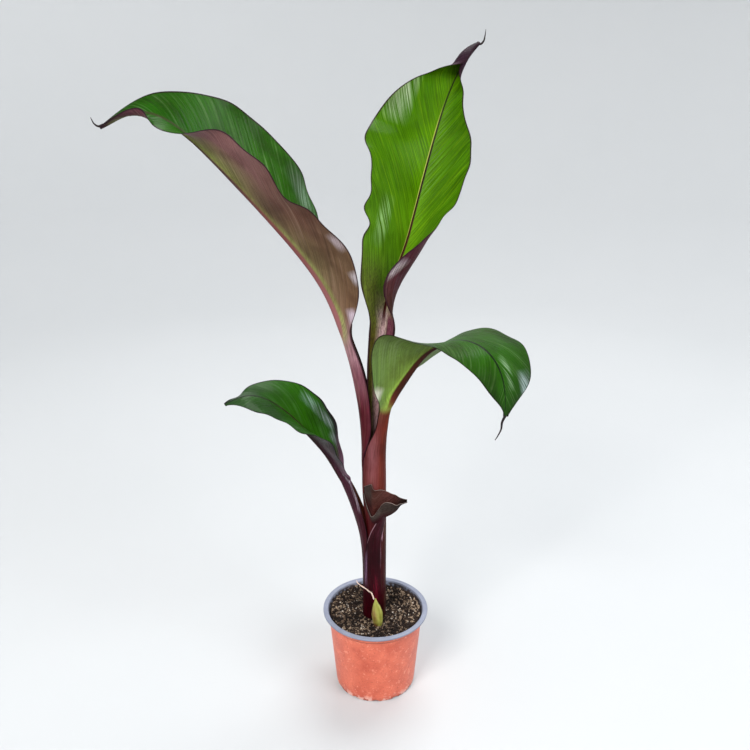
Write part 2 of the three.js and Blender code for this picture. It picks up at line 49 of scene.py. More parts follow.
# The studio in metres and linear colours: a sweep of paper, grey low down and paler high up, under a soft
# sky, with three lights
STUDIO = {
    "inner": (0.4, 0.8), "floor": 1.6, "bend": 1.6, "bend_rows": 16, "top": 3.4, "sides": 128,
    "low": ((0.53, 0.545, 0.555, 1), (0.55, 0.56, 0.57, 1)), "high": (0.8, 0.81, 0.815, 1), "grain": 3,
    "fade": (0.2, 2.0), "sky": (0.86, 0.92, 1.0, 1), "sky_strength": 0.3,
}
LIGHTS = [
    {"name": "window", "place": (-1.1, -1.9, 2.2), "target": (0, 0, 0.35), "size": (1.1, 1.1), "watts": 72,
     "colour": (1, 0.98, 0.95)},
    {"name": "fill", "place": (1.6, -1.2, 1.9), "target": (0, 0, 0.3), "size": (1.3, 1.3), "watts": 34,
     "colour": (0.95, 0.98, 1)},
    {"name": "overhead", "place": (0.5, 1.2, 2.4), "target": (0, 0, 0.45), "size": (2.0, 1.2), "watts": 50,
     "colour": (1, 1, 1)},
]

# The pot's measures, from the photograph. "rim_reach" is how far past the rim's underside and past its
# inner edge the rim's colour goes, and the notches are the small arches round the foot.
POT = {
    "height": 97, "rim_radius": 60, "rim_inner": 54.6, "rim_thickness": 2.2, "rim_round": 0.7,
    "rim_reach": (0.05, 0.6), "top_radius": 55, "ledge_under": 53.2, "ledge_over": 54.2, "ledge_drop": 10,
    "ledge_round": 0.8, "foot_radius": 45.6, "foot_round": 2.4, "foot_band": 4, "corner_round": 0.5,
    "wall": 1.6, "floor": 4, "floor_round": 2, "inner_foot": 44.3, "inner_drop": 1, "inner_round": 1,
    "notches": 12, "notch_half": 4.2, "notch_slope": 2, "notch_height": 1.8, "notch_fade": 3.5,
    "sides": 192, "row_step": 6, "dirt_depth": 4,
}
# The pot's skin. A pattern is a noise's scale, detail and roughness. Each mark on the clay is a pattern,
# the range of its value over which the mark sets in, the mark's share and its colour. The marks at the foot
# have a range of height in metres too. A bump is its depth in metres and its strength.
POT_SKIN = {
    "speck": (620, 2), "spot": (190, 2), "cloud": (45, 4, 0.65), "crust": (300, 3),
    "cloud_range": (0.3, 0.7), "clay": ((186, 82, 60), (218, 114, 88)),
    "rim": ((116, 121, 139), (134, 139, 156)),
    "marks": [("spot", 0.6, 0.72, 0.5, (234, 156, 130)), ("speck", 0.68, 0.74, 0.6, (242, 182, 158)),
              ("speck", 0.4, 0.3, 0.45, (140, 50, 38))],
    "foot_marks": [((0.009, 0.002), (0.48, 0.56), 0.8, (226, 190, 178)),
                   ((0.006, 0.0), (0.5, 0.4), 0.7, (70, 36, 32))],
    # The ledge line is a painted shade along the step below the rim
    "ledge_shade_line": (0.0874, 0.0009, 0.0004), "ledge_shade_share": 0.9, "ledge_shade_tint": (96, 64, 58),
    "dirt_height": (0.0957, 0.0945), "dirt_range": (0.36, 0.5), "dirt_share": 0.9, "dirt": (58, 45, 39),
    "rough": (0.38, 0.5), "bump": (0.0002, 0.5),
}

# "waves" are the soil's unevenness round the pot: each one's share, count and shift
SOIL = {
    "level": 88, "bottom": 70, "bank": 5.4, "relief": 0.9, "stem_seat": 24, "radius": 52.0, "sides": 160,
    "rings": 60, "hole": 1.2, "under_radii": (50.5, 45.0), "under_step": 10, "sunk": 0.3,
    "waves": ((1.0, 3, 0.6), (0.7, 5, -1.1)), "wave_drop": 0.6, "crumb_height": 0.45,
    "crumb_lengths": (3.1, 5.2, 8.5), "colours": ((22, 16, 13), (62, 48, 40)), "seed": 11,
}
SOIL_SKIN = {
    "scale": 420, "grain": (4, 0.65), "range": (0.35, 0.7), "damp_scale": 34, "damp_range": (0.42, 0.6),
    "damp_share": 0.75, "damp": (122, 108, 104), "bump": (0.0012, 0.8),
}
GRAINS = [
    {"name": "peat_crumbs", "count": 2600, "sizes": (0.5, 2.1), "stretch": (0.8, 1.6), "seed": 31,
     "finish": "peat_finish", "colours": ((20, 14, 11), (58, 43, 36))},
    {"name": "bark_crumbs", "count": 760, "sizes": (0.5, 2.3), "stretch": (0.8, 1.8), "seed": 34,
     "finish": "bark_finish", "colours": ((84, 66, 54), (176, 154, 130)), "scale": 700},
    {"name": "bark_fibres", "count": 420, "sizes": (0.35, 0.75), "stretch": (3, 8), "seed": 32,
     "finish": "fibre_finish", "colours": ((100, 78, 60), (168, 142, 116))},
    {"name": "pale_grains", "count": 420, "sizes": (0.4, 1.5), "stretch": (0.8, 1.3), "seed": 33,
     "finish": "pale_grain_finish", "colours": ((186, 172, 156), (226, 216, 204))},
]
# How a grain varies: its width and thickness as shares of its size, how it tips, and how ragged it is.
# "raised" is how high its middle lies, as a share of its thickness, "off_wall" how far in from the wall its
# middle stays, and "over_wall" how far past the soil's edge its corners may go.
GRAIN = {
    "shrink": (0.6, 1), "width": (0.7, 1.1), "thickness": (0.5, 0.9), "tip": 0.25, "ragged": (0.75, 1.2),
    "raised": 0.4, "off_wall": 1.2, "over_wall": 0.6, "middle": 0.02,
}

BUD = {
    "line": [(3, -20.6, 88.0), (1.8, -20.8, 104), (0, -19.8, 122)], "rows": 60, "sides": 56, "height": 34,
    "radius": {0: 4.6, 0.2: 6.0, 0.42: 6.2, 0.7: 4.1, 0.9: 1.7, 1: 0.6}, "bract_rise": 26,
    "bract_depth": 0.1, "bract_fade": 6,
}
BUD_SKIN = {
    "streak": (9.0, 0.06, 3), "streak_range": (0.35, 0.65), "green": ((128, 128, 46), (168, 168, 84)),
    "red": (104, 44, 36), "red_share": 0.9, "red_side": (0.58, 0.2, 0.09), "red_height": (28.0, 16.0),
    "blotch": (2.4, 0.12, 2), "blotch_range": (0.4, 0.6, 0.4, 1.0), "bump": (0.0004, 0.6),
}
DRY_ROOT = {
    "line": [(-2, -20.6, 121.5), (-5, -21.5, 131), (-11, -23.5, 138), (-19.5, -25.5, 146),
             (-21.0, -25.8, 150.5)],
    "radius": {0: 0.8, 0.5: 0.6, 0.85: 0.5, 1: 0.2}, "rows": 60, "sides": 12, "wave": 0.2,
    "wave_lengths": (5, 9), "seed": 5, "colours": ((236, 218, 204), (206, 168, 150)), "scale": 500,
}
DRY_SKIN = {"detail": 3, "range": (0.35, 0.65), "bump": (0.0003, 0.6)}
# The dry threads at the leaves' tips: each one's line and its radius along it
THREADS = {
    "upper_left_leaf_thread": ([(-244, -28.8, 632.5), (-248.5, -29, 631.3), (-252, -29.3, 633.5),
                                (-254.5, -29.6, 639)], {0: 1.3, 0.4: 0.9, 1: 0.25}),
    "upright_leaf_thread": ([(105, 111, 703), (108.2, 112, 703), (111, 113, 706), (112.2, 113.5, 711.5),
                             (112.8, 114, 717)], {0: 1.3, 0.5: 0.8, 1: 0.2}),
    "right_leaf_thread": ([(123, -80, 371), (120.4, -80, 364), (119.9, -80, 357), (117.3, -80, 350.5),
                           (114.6, -80, 345.5)], {0: 1.5, 0.4: 1.0, 1: 0.4}),
}
THREAD = {"rows": 40, "sides": 10, "colours": ((40, 28, 30), (20, 16, 16)), "scale": 300}
# The stem's inner sheaths. Its skin is the right leaf's, at one place by the foot.
HEART = {"foot": (-0.9, 0, 88.3), "head": (-1.8, 0, 283.3), "radius": 9.4, "rows": 60, "sides": 48,
         "length": 195, "side_step": 1.2, "inset": 9, "place": 0.1}

# A leaf is a sheath, a channelled stalk and a blade, all with one rule: a line runs along the bottom of its
# groove, and on each side of it a half bends up from the line. Along the line, values by place from 0 to 1
# give each half's width, its lift above flat at the line, and the curl that it gains by its margin, in
# degrees. A value that stays the same is written alone. "lean" is the compass direction that the leaf's back
# faces, and "body" the thickness at the line.

UPPER_LEFT_STALK = {
    "points": [(-11.5, 0, 262), (-12.5, 0, 283.3), (-12.4, 0, 296), (-12.6, 0, 312), (-13.5, 0, 330),
               (-15.5, 0, 356), (-20.5, -1, 390), (-29, -2, 426)],
    "lean": {0: 165, 0.13: 165, 0.4: 175, 1: 182}, "body": {0: 2.4, 0.13: 2.4, 0.4: 3, 0.65: 5, 1: 6.5},
    "margin": 1.4,
    "left": {
        "width": {0: 6.5, 0.13: 6.5, 0.22: 9.5, 0.27: 13.4, 0.4: 15.5, 0.65: 14, 1: 8}, "lift": 0,
        "curl": {0: 32, 0.13: 32, 0.22: 47, 0.27: 66, 0.4: 95, 0.65: 100, 1: 60},
    },
    "right": {
        "width": {0: 17, 0.13: 17, 0.43: 15, 0.65: 13, 1: 8}, "lift": 0, "curl": {0: 80, 0.65: 100, 1: 60},
    },
}
UPPER_LEFT_BLADE = {
    "start": (-29, -2, 426), "length": 331,
    "climb": {0: 70.5, 0.1: 67, 0.25: 54.5, 0.4: 49.5, 0.6: 48, 0.75: 42, 0.82: 28, 0.88: 2, 0.93: -20,
              0.97: -28, 1: -22},
    "turn": 187, "lean": 180, "body": {0: 6.5, 0.1: 5, 0.2: 4.4, 0.4: 3.6, 1: 2.2},
    "left": {
        "width": 57, "shape": (0.6, 0.85), "base": 8,
        "trim": {0: 0.62, 0.1: 0.88, 0.17: 1.03, 0.24: 1.08, 0.31: 1.01, 0.38: 0.98, 0.44: 0.86, 0.5: 0.95,
                 0.56: 1.14, 0.63: 1.07, 0.7: 1, 0.78: 0.62, 0.82: 0.6, 0.87: 0.75, 1: 0.4},
        "lift": {0: 0, 0.07: 56, 0.2: 53, 0.35: 49, 0.5: 40, 0.6: 40, 0.66: 36, 0.72: 26, 0.75: 10,
                 0.79: -16, 0.83: -26, 0.87: -55, 0.93: -50, 1: 0},
        "curl": {0: 60, 0.07: 0, 0.6: 0, 0.7: 20, 0.76: 0, 0.82: 0, 0.85: 60, 0.88: 160, 0.95: 120, 1: 60},
    },
    "right": {
        "width": 66, "shape": (0.5, 0.8), "base": 8,
        "trim": {0: 1, 0.2: 1.08, 0.35: 1.09, 0.5: 1.09, 0.6: 1.09, 0.7: 1.1, 0.77: 0.98, 0.83: 0.75,
                 0.9: 0.62, 1: 0.5},
        "lift": {0: 0, 0.07: 6, 0.2: 10, 0.35: 25, 0.5: 44, 0.62: 50, 0.75: 60, 0.85: 56, 0.92: 40, 1: 30},
        "curl": {0: 60, 0.07: 0},
    },
}
UPRIGHT_STALK = {
    "points": [(1, -3, 262), (1, -3, 283.3), (1, -2, 320), (1.5, 0, 360), (4, 3, 400), (8, 8, 437)],
    "lean": 90, "body": {0: 6, 0.5: 5, 1: 6}, "margin": 1.4,
    "left": {"width": {0: 9, 0.5: 13, 1: 17}, "lift": 0, "curl": {0: 100, 1: 70}},
    "right": {"width": {0: 7.5, 0.2: 8.6, 0.5: 14, 1: 20}, "lift": 0, "curl": {0: 100, 1: 105}},
}
UPRIGHT_BLADE = {
    "start": (8, 8, 437), "length": 304,
    "climb": {0: 71, 0.1: 64, 0.2: 60, 0.35: 66, 0.7: 64, 0.85: 56, 1: 41},
    "turn": {0: 80, 0.1: 52, 0.2: 42, 0.35: 52, 0.6: 51, 0.8: 44, 1: 30}, "lean": 90,
    "body": {0: 6, 0.2: 4.5, 0.5: 3.2, 1: 1.8},
    "left": {
        "width": 72, "shape": (0.5, 0.6), "base": 17,
        "trim": {0: 0.9, 0.1: 0.97, 0.22: 0.94, 0.29: 0.87, 0.325: 1, 0.345: 0.99, 0.375: 0.9, 0.42: 0.905,
                 0.46: 0.875, 0.5: 0.93, 0.57: 1.05, 0.6: 1, 0.66: 0.97, 0.72: 0.93, 0.8: 0.74, 0.845: 0.5,
                 0.87: 0.6, 0.93: 0.82, 1: 0.8},
        "lift": {0: 0, 0.07: 50, 0.2: 48, 0.37: 44, 0.58: 20, 0.68: 0, 0.8: 5, 1: 10},
        "curl": {0: 70, 0.07: 0, 0.82: 8, 0.845: 40, 0.875: 185, 1: 200},
    },
    "right": {
        "width": 46, "shape": (0.5, 0.6), "base": 20,
        "trim": {0: 1, 0.1: 1.35, 0.2: 1.35, 0.3: 1.12, 0.4: 1, 0.58: 1.05, 0.66: 0.94, 0.74: 0.66,
                 0.8: 0.5, 1: 0.5},
        "lift": {0: 0, 0.1: 30, 0.4: 20},
        "curl": {0: 105, 0.1: 145, 0.2: 122, 0.3: 82, 0.4: 45, 0.5: 20, 0.8: 20, 0.87: 140, 1: 200},
    },
}
RIGHT_SHEATH = {
    "points": [(7.6, -7, 88.4), (7.7, -7.05, 150), (7.6, -7.1, 200), (6.9, -7.15, 250), (6.7, -7.2, 283.3)],
    "lean": 320, "body": 2.4, "margin": 1,
    "left": {"width": {0: 27, 0.5: 28, 0.82: 34, 1: 18}, "lift": 0, "curl": {0: 176, 0.82: 170, 1: 90}},
    "right": {"width": {0: 27, 0.5: 28, 0.86: 34, 1: 24.5}, "lift": 0, "curl": {0: 176, 0.86: 172, 1: 121}},
}
RIGHT_STALK = {
    "points": [(6.7, -7.2, 283.3), (6.9, -7.3, 295), (7.4, -8.5, 312), (8, -10.5, 328), (8.4, -12.3, 342),
               (10, -14, 355)],
    "lean": {0: 320, 0.5: 325, 1: 345}, "body": {0: 2.4, 0.4: 3.5, 0.7: 6, 1: 8}, "margin": 1,
    "left": {"width": {0: 18, 0.35: 16, 0.7: 11, 1: 8}, "lift": 0, "curl": {0: 90, 0.6: 100, 1: 70}},
    "right": {
        "width": {0: 24.5, 0.15: 20, 0.35: 17, 0.6: 10, 0.8: 8, 1: 8}, "lift": 0,
        "curl": {0: 121, 0.15: 99, 0.6: 60, 1: 60},
    },
}
RIGHT_BLADE = {
    "start": (10, -14, 355), "length": 210,
    "climb": {0: 60, 0.1: 56, 0.2: 56, 0.3: 52, 0.4: 36, 0.5: 16, 0.6: -11, 0.7: -35, 0.8: -56, 0.9: -70,
              1: -77},
    "turn": {0: 344, 0.3: 345, 0.5: 336, 0.6: 328, 0.8: 304, 0.9: 282, 1: 254},
    "lean": {0: 360, 0.4: 352, 0.6: 342, 0.8: 324, 1: 315}, "body": {0: 8, 0.1: 6, 0.25: 4, 0.4: 3, 1: 2},
    "left": {
        "width": 60, "shape": (0.6, 0.56), "base": 8,
        "trim": {0: 1, 0.56: 1.04, 0.6: 1.1, 0.63: 1.05, 0.68: 1.12, 0.74: 1.05, 0.85: 1, 0.93: 0.75,
                 0.97: 0.55, 1: 0.15},
        "lift": {0: 0, 0.1: 0, 0.2: -18, 0.3: -22, 0.4: -16, 0.5: -9, 0.6: -3, 0.7: 5},
        "curl": {0: 70, 0.1: 0},
    },
    "right": {
        "width": 54, "shape": (0.52, 0.85), "base": 8, "trim": {0: 0.8, 0.15: 0.88, 0.3: 1, 0.9: 1, 1: 0.3},
        "lift": {0: 0, 0.07: 54, 0.2: 66, 0.3: 70, 0.35: 55, 0.4: 33, 0.45: 22, 0.5: 13, 0.6: -4, 0.7: -12,
                 0.8: -12, 1: -5},
        "curl": {0: 60, 0.07: 0},
    },
}
LOWER_LEFT_STALK = {
    "points": [(-12.6, 1, 88.3), (-12.6, 1, 157), (-14, 0, 181), (-17, -1, 204), (-25, -3, 238),
               (-33, -6, 264)],
    "lean": {0: 172, 0.4: 176, 0.6: 186, 1: 205}, "body": {0: 1.8, 0.5: 2.2, 0.8: 4, 1: 5}, "margin": 1.2,
    "left": {
        "width": {0: 4, 0.35: 5, 0.6: 12, 0.8: 10, 1: 8}, "lift": 0,
        "curl": {0: 20, 0.35: 25, 0.6: 58, 0.8: 60, 1: 60},
    },
    "right": {
        "width": {0: 18, 0.35: 18, 0.6: 17, 0.8: 17, 1: 15}, "lift": 0,
        "curl": {0: 89, 0.35: 89, 0.6: 90, 0.8: 75, 1: 60},
    },
}
LOWER_LEFT_BLADE = {
    "start": (-33, -6, 264), "length": 184,
    "climb": {0: 63, 0.15: 61, 0.3: 53, 0.5: 51, 0.6: 47, 0.7: 40, 0.8: 26, 0.88: 0, 1: -26}, "turn": 207,
    "lean": 205, "body": {0: 5, 0.2: 4, 0.5: 2.6, 1: 1.6},
    "left": {
        "width": 38, "shape": (0.5, 0.6), "base": 8,
        "trim": {0: 1, 0.5: 0.97, 0.7: 1, 0.85: 1.25, 0.93: 1.3, 1: 0.6},
        "lift": {0: 0, 0.07: 6, 0.25: 6, 0.37: 16, 0.45: 10, 0.55: -3, 0.7: -12, 0.85: -12, 1: 0},
        "curl": {0: 60, 0.07: 0},
    },
    "right": {
        "width": 42, "shape": (0.6, 0.78), "base": 15,
        "trim": {0: 0.6, 0.12: 0.75, 0.25: 0.97, 0.5: 1.05, 0.75: 1, 0.85: 0.85, 1: 0.5},
        "lift": {0: 0, 0.09: 48, 0.3: 52, 0.4: 52, 0.5: 50, 0.6: 44, 0.7: 28, 0.8: 5, 0.9: -15},
        "curl": {0: 60, 0.07: 0},
    },
}
WITHERED_SHEATH = {
    "points": [(0, -11.6, 88.3), (-0.8, -11.6, 150), (-0.4, -11.6, 172), (1, -11.8, 199),
               (4.6, -14.5, 214), (8, -19.5, 229), (11, -23.2, 243)],
    "lean": {0: 275, 0.4: 271, 0.55: 273, 0.75: 280, 1: 300}, "body": {0: 1.8, 0.7: 2.2, 1: 2.6},
    "margin": 1.2,
    "left": {
        "width": {0: 18, 0.4: 16, 0.55: 12.4, 0.72: 7.4, 0.85: 5, 1: 3}, "lift": 0,
        "curl": {0: 89, 0.4: 79, 0.55: 61, 0.72: 32, 1: 40},
    },
    "right": {
        "width": {0: 18, 0.4: 16, 0.55: 12.4, 0.72: 6.5, 0.85: 4, 1: 3}, "lift": 0,
        "curl": {0: 89, 0.4: 79, 0.55: 61, 0.72: 32, 1: 40},
    },
}
WITHERED_BLADE = {
    "points": [(-12.5, -8.5, 248), (-10, -11.6, 236), (-6, -14.2, 225), (-2, -15.6, 216.5), (3, -16, 219),
               (9, -16.8, 224.5), (16, -18, 229), (22, -18, 234), (27, -17, 240.5), (34, -16, 243)],
    "upright": True, "lean": 0, "body": 1.1, "margin": 0.7,
    "left": {
        "width": {0: 9, 0.15: 23.5, 0.3: 37.5, 0.38: 45, 0.42: 40, 0.5: 37, 0.6: 31, 0.7: 24, 0.8: 17,
                  0.9: 7, 1: 2},
        "lift": {0: 90, 0.42: 92, 0.5: 86, 0.7: 80, 1: 60}, "curl": 0,
    },
    "right": {
        "width": {0: 2, 0.35: 3, 0.45: 14, 0.55: 23, 0.65: 25, 0.75: 21, 0.85: 13, 0.95: 5, 1: 2},
        "lift": {0: 60, 1: 20}, "curl": {0: 40, 0.6: 70, 1: 0},
    },
}

# A leaf's mesh and fine relief: veins leave the rib at a slant, and the blade is pleated between them.
# Pairs are the distances over which something sets in, or the lengths of its waves.
LEAF = {
    "row_step": 1.6, "columns": 56, "tip_half": 1.0, "base_fade": 0.1, "lamina": 0.5, "rib_reach": 0.75,
    "rib_extra": 1.0, "vein_slant": 1.7, "vein_wander": 1.5, "wander_across": 0.2,
    "wander_lengths": (31, 17), "pleat": 6.5, "pleat_height": 0.16, "off_rib": (0.5, 5),
    "off_margin": (0, 5), "ridge": 2.1, "ridge_height": 0.07, "ridge_lengths": (60,), "ripple": 1.2,
    "ripple_side": 30, "ripple_lengths": (46, 27), "crumple_lengths": (9, 15), "crumple_fade": (0, 6),
    "thin_edge": 0.45, "edge_fade": (-0.2, 1.4), "stalk_round": 0.01, "soften": 3.0, "line_soften": 1.5,
    "least_rows": 8, "least_curl": 0.001, "least_half": 0.01,
}

# Colours of each leaf by place along it: the foot is at 0, the tip at 1, and a leaf of two parts turns
# from stalk to blade at 0.5. "inner" is beside the rib and "outer" beside the margin, and the top is the
# face that the groove holds. The pale streaks are vein streaks with a painted sheen in them. A painted light
# patch is a painted highlight where its colour is pale and a painted shade where it is dark: its place and
# half length, its distance from the rib and half width in millimetres, its face (0 top, 1 under), its colour
# and share, and how much of it the streaks leave.
PLAIN_LOOK = {
    "specular": 0.025, "coat": 0.12, "turn": (0.15, 0.85), "streak": 0.6, "thin": 0.5, "patch": 0.5,
    "painted_light": [], "rib_half": (2.2, 0.7), "border_scale": 10, "border_share": 0.96, "rough": (0.3, 0.46),
    "bump": 0.0006,
}
UPPER_LEFT_LOOK = {
    "top_inner": {0: (58, 26, 28), 0.49: (70, 56, 24), 0.56: (40, 98, 8), 0.8: (38, 94, 8), 1: (26, 78, 4)},
    "top_outer": {0: (70, 30, 38), 0.49: (64, 50, 30), 0.56: (44, 96, 14), 0.8: (42, 92, 12),
                  1: (30, 78, 8)},
    # The pale pink underneath towards 0.48 is the stalk's colour lightened by painted light, against the
    # shade it faces into and for its gloss
    "under_inner": {0: (92, 28, 36), 0.25: (98, 36, 46), 0.36: (134, 82, 92), 0.48: (190, 146, 152),
                    0.54: (140, 112, 90), 0.63: (112, 98, 66), 0.72: (100, 82, 58), 0.84: (120, 124, 64),
                    1: (88, 94, 54)},
    "under_outer": {0: (86, 28, 38), 0.25: (94, 34, 46), 0.36: (130, 78, 90), 0.48: (182, 140, 150),
                    0.54: (114, 86, 64), 0.62: (104, 80, 58), 0.7: (98, 66, 52), 0.82: (124, 86, 84),
                    0.9: (90, 54, 58), 1: (56, 30, 42)},
    "turn": (0.1, 0.6), "beside": {0.45: (150, 160, 90), 0.75: (140, 150, 84), 1: (120, 130, 76)},
    "beside_share": {0.45: 0, 0.52: 0.75, 0.66: 0.5, 0.75: 0.2, 1: 0.2}, "beside_reach": (3.4, 8),
    "top_sheen_streak": (136, 170, 112), "under_sheen_streak": (150, 122, 104),
    "sheen_streak_share": {0: 0.3, 0.5: 0.4, 0.62: 0.7, 0.75: 0.5, 0.85: 0.26, 0.95: 0.45, 1: 0.5},
    # Painted highlights on the underside by the near margin, and on the top of the far half
    "painted_light": [(0.583, 0.013, -44, 8, 1, (214, 206, 214), 0.75, 0.7),
               (0.529, 0.016, -18, 8, 1, (216, 198, 214), 0.9, 0.8),
               (0.637, 0.018, -51, 7, 1, (206, 192, 202), 0.6, 0.6),
               (0.7, 0.05, 60, 12, 0, (170, 196, 176), 0.45, 0.2)],
    "mottle": (70, 44, 40), "mottle_share": {0: 0.1, 0.5: 0.12, 1: 0.1},
    "rib_top": {0: (60, 40, 28), 1: (50, 60, 30)},
    "rib_under": {0: (124, 76, 82), 0.5: (140, 88, 90), 0.7: (110, 62, 60), 0.8: (70, 44, 46),
                  1: (50, 30, 34)},
    "rib_half": (3, 1), "patch_tint": (170, 150, 140), "margin": {0: (50, 20, 30), 1: (34, 16, 24)},
    "border": {0: 0.1, 0.5: 0.14, 0.8: 0.2, 1: 0.2},
}
UPRIGHT_LOOK = {
    # The pale pink inside the stalk's channel is its colour lightened by painted light against the channel's
    # shade
    "top_inner": {0: (170, 130, 138), 0.38: (186, 146, 154), 0.51: (204, 172, 174), 0.53: (170, 160, 120),
                  0.56: (112, 162, 40), 0.64: (98, 148, 16), 0.75: (82, 132, 0), 0.9: (74, 120, 0),
                  0.97: (64, 102, 2), 1: (52, 28, 36)},
    "top_outer": {0: (90, 80, 30), 0.44: (104, 98, 38), 0.53: (110, 120, 50), 0.62: (82, 130, 22),
                  0.75: (66, 112, 2), 0.9: (60, 106, 0), 0.96: (56, 90, 6), 1: (52, 28, 36)},
    "right_top": {0: (96, 44, 56), 0.45: (120, 66, 82), 1: (90, 40, 50)},
    "right_share": {0: 1, 0.5: 1, 0.53: 0, 1: 0}, "right_reach": (3, 5), "rib_line": (196, 196, 96),
    "rib_line_share": {0.53: 0, 0.57: 0.95, 0.7: 0.9, 0.82: 0.6, 0.9: 0},
    "under_inner": {0: (70, 22, 28), 0.48: (72, 36, 38), 0.6: (84, 34, 46), 0.9: (60, 36, 50),
                    1: (36, 16, 30)},
    "under_outer": {0: (70, 22, 30), 0.44: (72, 60, 34), 0.6: (84, 42, 52), 0.9: (56, 34, 48),
                    1: (34, 16, 28)},
    "turn": (0.05, 0.5), "top_sheen_streak": (142, 182, 20), "under_sheen_streak": (160, 132, 148),
    "sheen_streak_share": {0: 0.5, 0.5: 0.3, 0.6: 0.5, 0.7: 0.45, 0.88: 0.4, 1: 0.4},
    # Painted highlights on the top and on the curled underside
    "painted_light": [(0.872, 0.05, -45, 16, 0, (178, 188, 162), 0.65, 0),
               (0.655, 0.05, -40, 11, 0, (176, 214, 150), 0.5, 0),
               (0.582, 0.026, 47, 9, 1, (214, 202, 208), 0.9, 0.3)],
    "mottle": (52, 30, 34), "mottle_share": {0: 0.3, 0.4: 0.6, 0.56: 0.5, 0.62: 0, 1: 0},
    "rib_top": {0: (70, 40, 36), 0.6: (60, 18, 14), 0.75: (26, 12, 6), 0.9: (24, 30, 4), 1: (60, 34, 44)},
    "rib_under": {0: (60, 24, 26), 1: (60, 40, 30)}, "rib_half": (1.9, 0.5), "thin": 0.62, "coat": 0.04,
    "patch": 0.35, "patch_tint": (190, 190, 110), "margin": {0: (56, 28, 36), 1: (40, 20, 28)},
    "border": {0: 0.1, 0.5: 0.3, 0.6: 0.24, 0.7: 0.14, 0.85: 0.2, 1: 0.14}, "streak": 0.5,
}
RIGHT_LOOK = {
    "top_inner": {0: (80, 24, 18), 0.6: (70, 40, 26), 0.7: (84, 112, 30), 0.8: (46, 98, 4),
                  0.9: (36, 86, 2), 1: (28, 72, 0)},
    "top_outer": {0: (80, 24, 18), 0.6: (70, 40, 26), 0.7: (62, 90, 38), 0.8: (48, 84, 20),
                  0.9: (34, 72, 8), 1: (22, 56, 2)},
    "under_inner": {0: (52, 4, 12), 0.2: (62, 10, 14), 0.3: (108, 42, 34), 0.55: (116, 44, 28),
                    0.64: (112, 42, 26), 0.69: (130, 164, 66), 0.8: (94, 122, 52), 1: (60, 80, 36)},
    "under_outer": {0: (56, 6, 14), 0.2: (70, 14, 20), 0.3: (106, 52, 56), 0.55: (102, 44, 42),
                    0.63: (110, 62, 50), 0.68: (108, 138, 70), 0.8: (92, 112, 60), 0.87: (78, 76, 50),
                    1: (60, 70, 40)},
    "beside": {0.6: (150, 180, 74), 0.78: (128, 158, 62), 1: (70, 80, 40)},
    "beside_share": {0.62: 0, 0.68: 0.8, 0.78: 0.5, 0.86: 0}, "beside_reach": (4.5, 9),
    "top_sheen_streak": (120, 156, 96), "under_sheen_streak": (136, 150, 112),
    "sheen_streak_share": {0: 0.3, 0.26: 0.15, 0.34: 0.06, 0.62: 0.06, 0.66: 0.2, 0.78: 0.45, 1: 0.4},
    "mottle": (46, 20, 22), "mottle_share": {0: 0.5, 0.26: 0.1, 0.3: 0.03, 0.7: 0.1, 0.85: 0.45, 0.9: 0.06},
    # Painted highlights on the blade, its pale margin and the stem's left side; the last deepens the stem's
    # orange-brown right side with painted shade
    "painted_light": [(0.957, 0.024, -33, 11, 0, (170, 188, 190), 0.8, 0.2),
               (0.935, 0.03, -11, 6, 0, (160, 190, 150), 0.6, 0),
               (0.684, 0.016, 21, 8, 1, (232, 228, 212), 0.95, 0.8),
               (0.4, 0.15, 11, 7, 1, (164, 106, 114), 0.4, 0.7),
               (0.4, 0.17, -1.5, 6.5, 1, (94, 30, 8), 0.8, 0.7)],
    "rib_top": {0: (60, 20, 12), 0.7: (44, 20, 12), 0.8: (16, 16, 8), 1: (8, 12, 6)},
    "rib_under": {0: (96, 38, 26), 0.66: (104, 42, 30), 0.71: (58, 26, 16), 1: (40, 20, 14)},
    "rib_half": (6.4, 0.2), "thin": 0.38, "patch_tint": (180, 150, 140),
    "margin": {0: (30, 14, 16), 1: (22, 12, 14)}, "border": {0: 0.12, 0.7: 0.12, 0.9: 0.14, 1: 0.2},
}
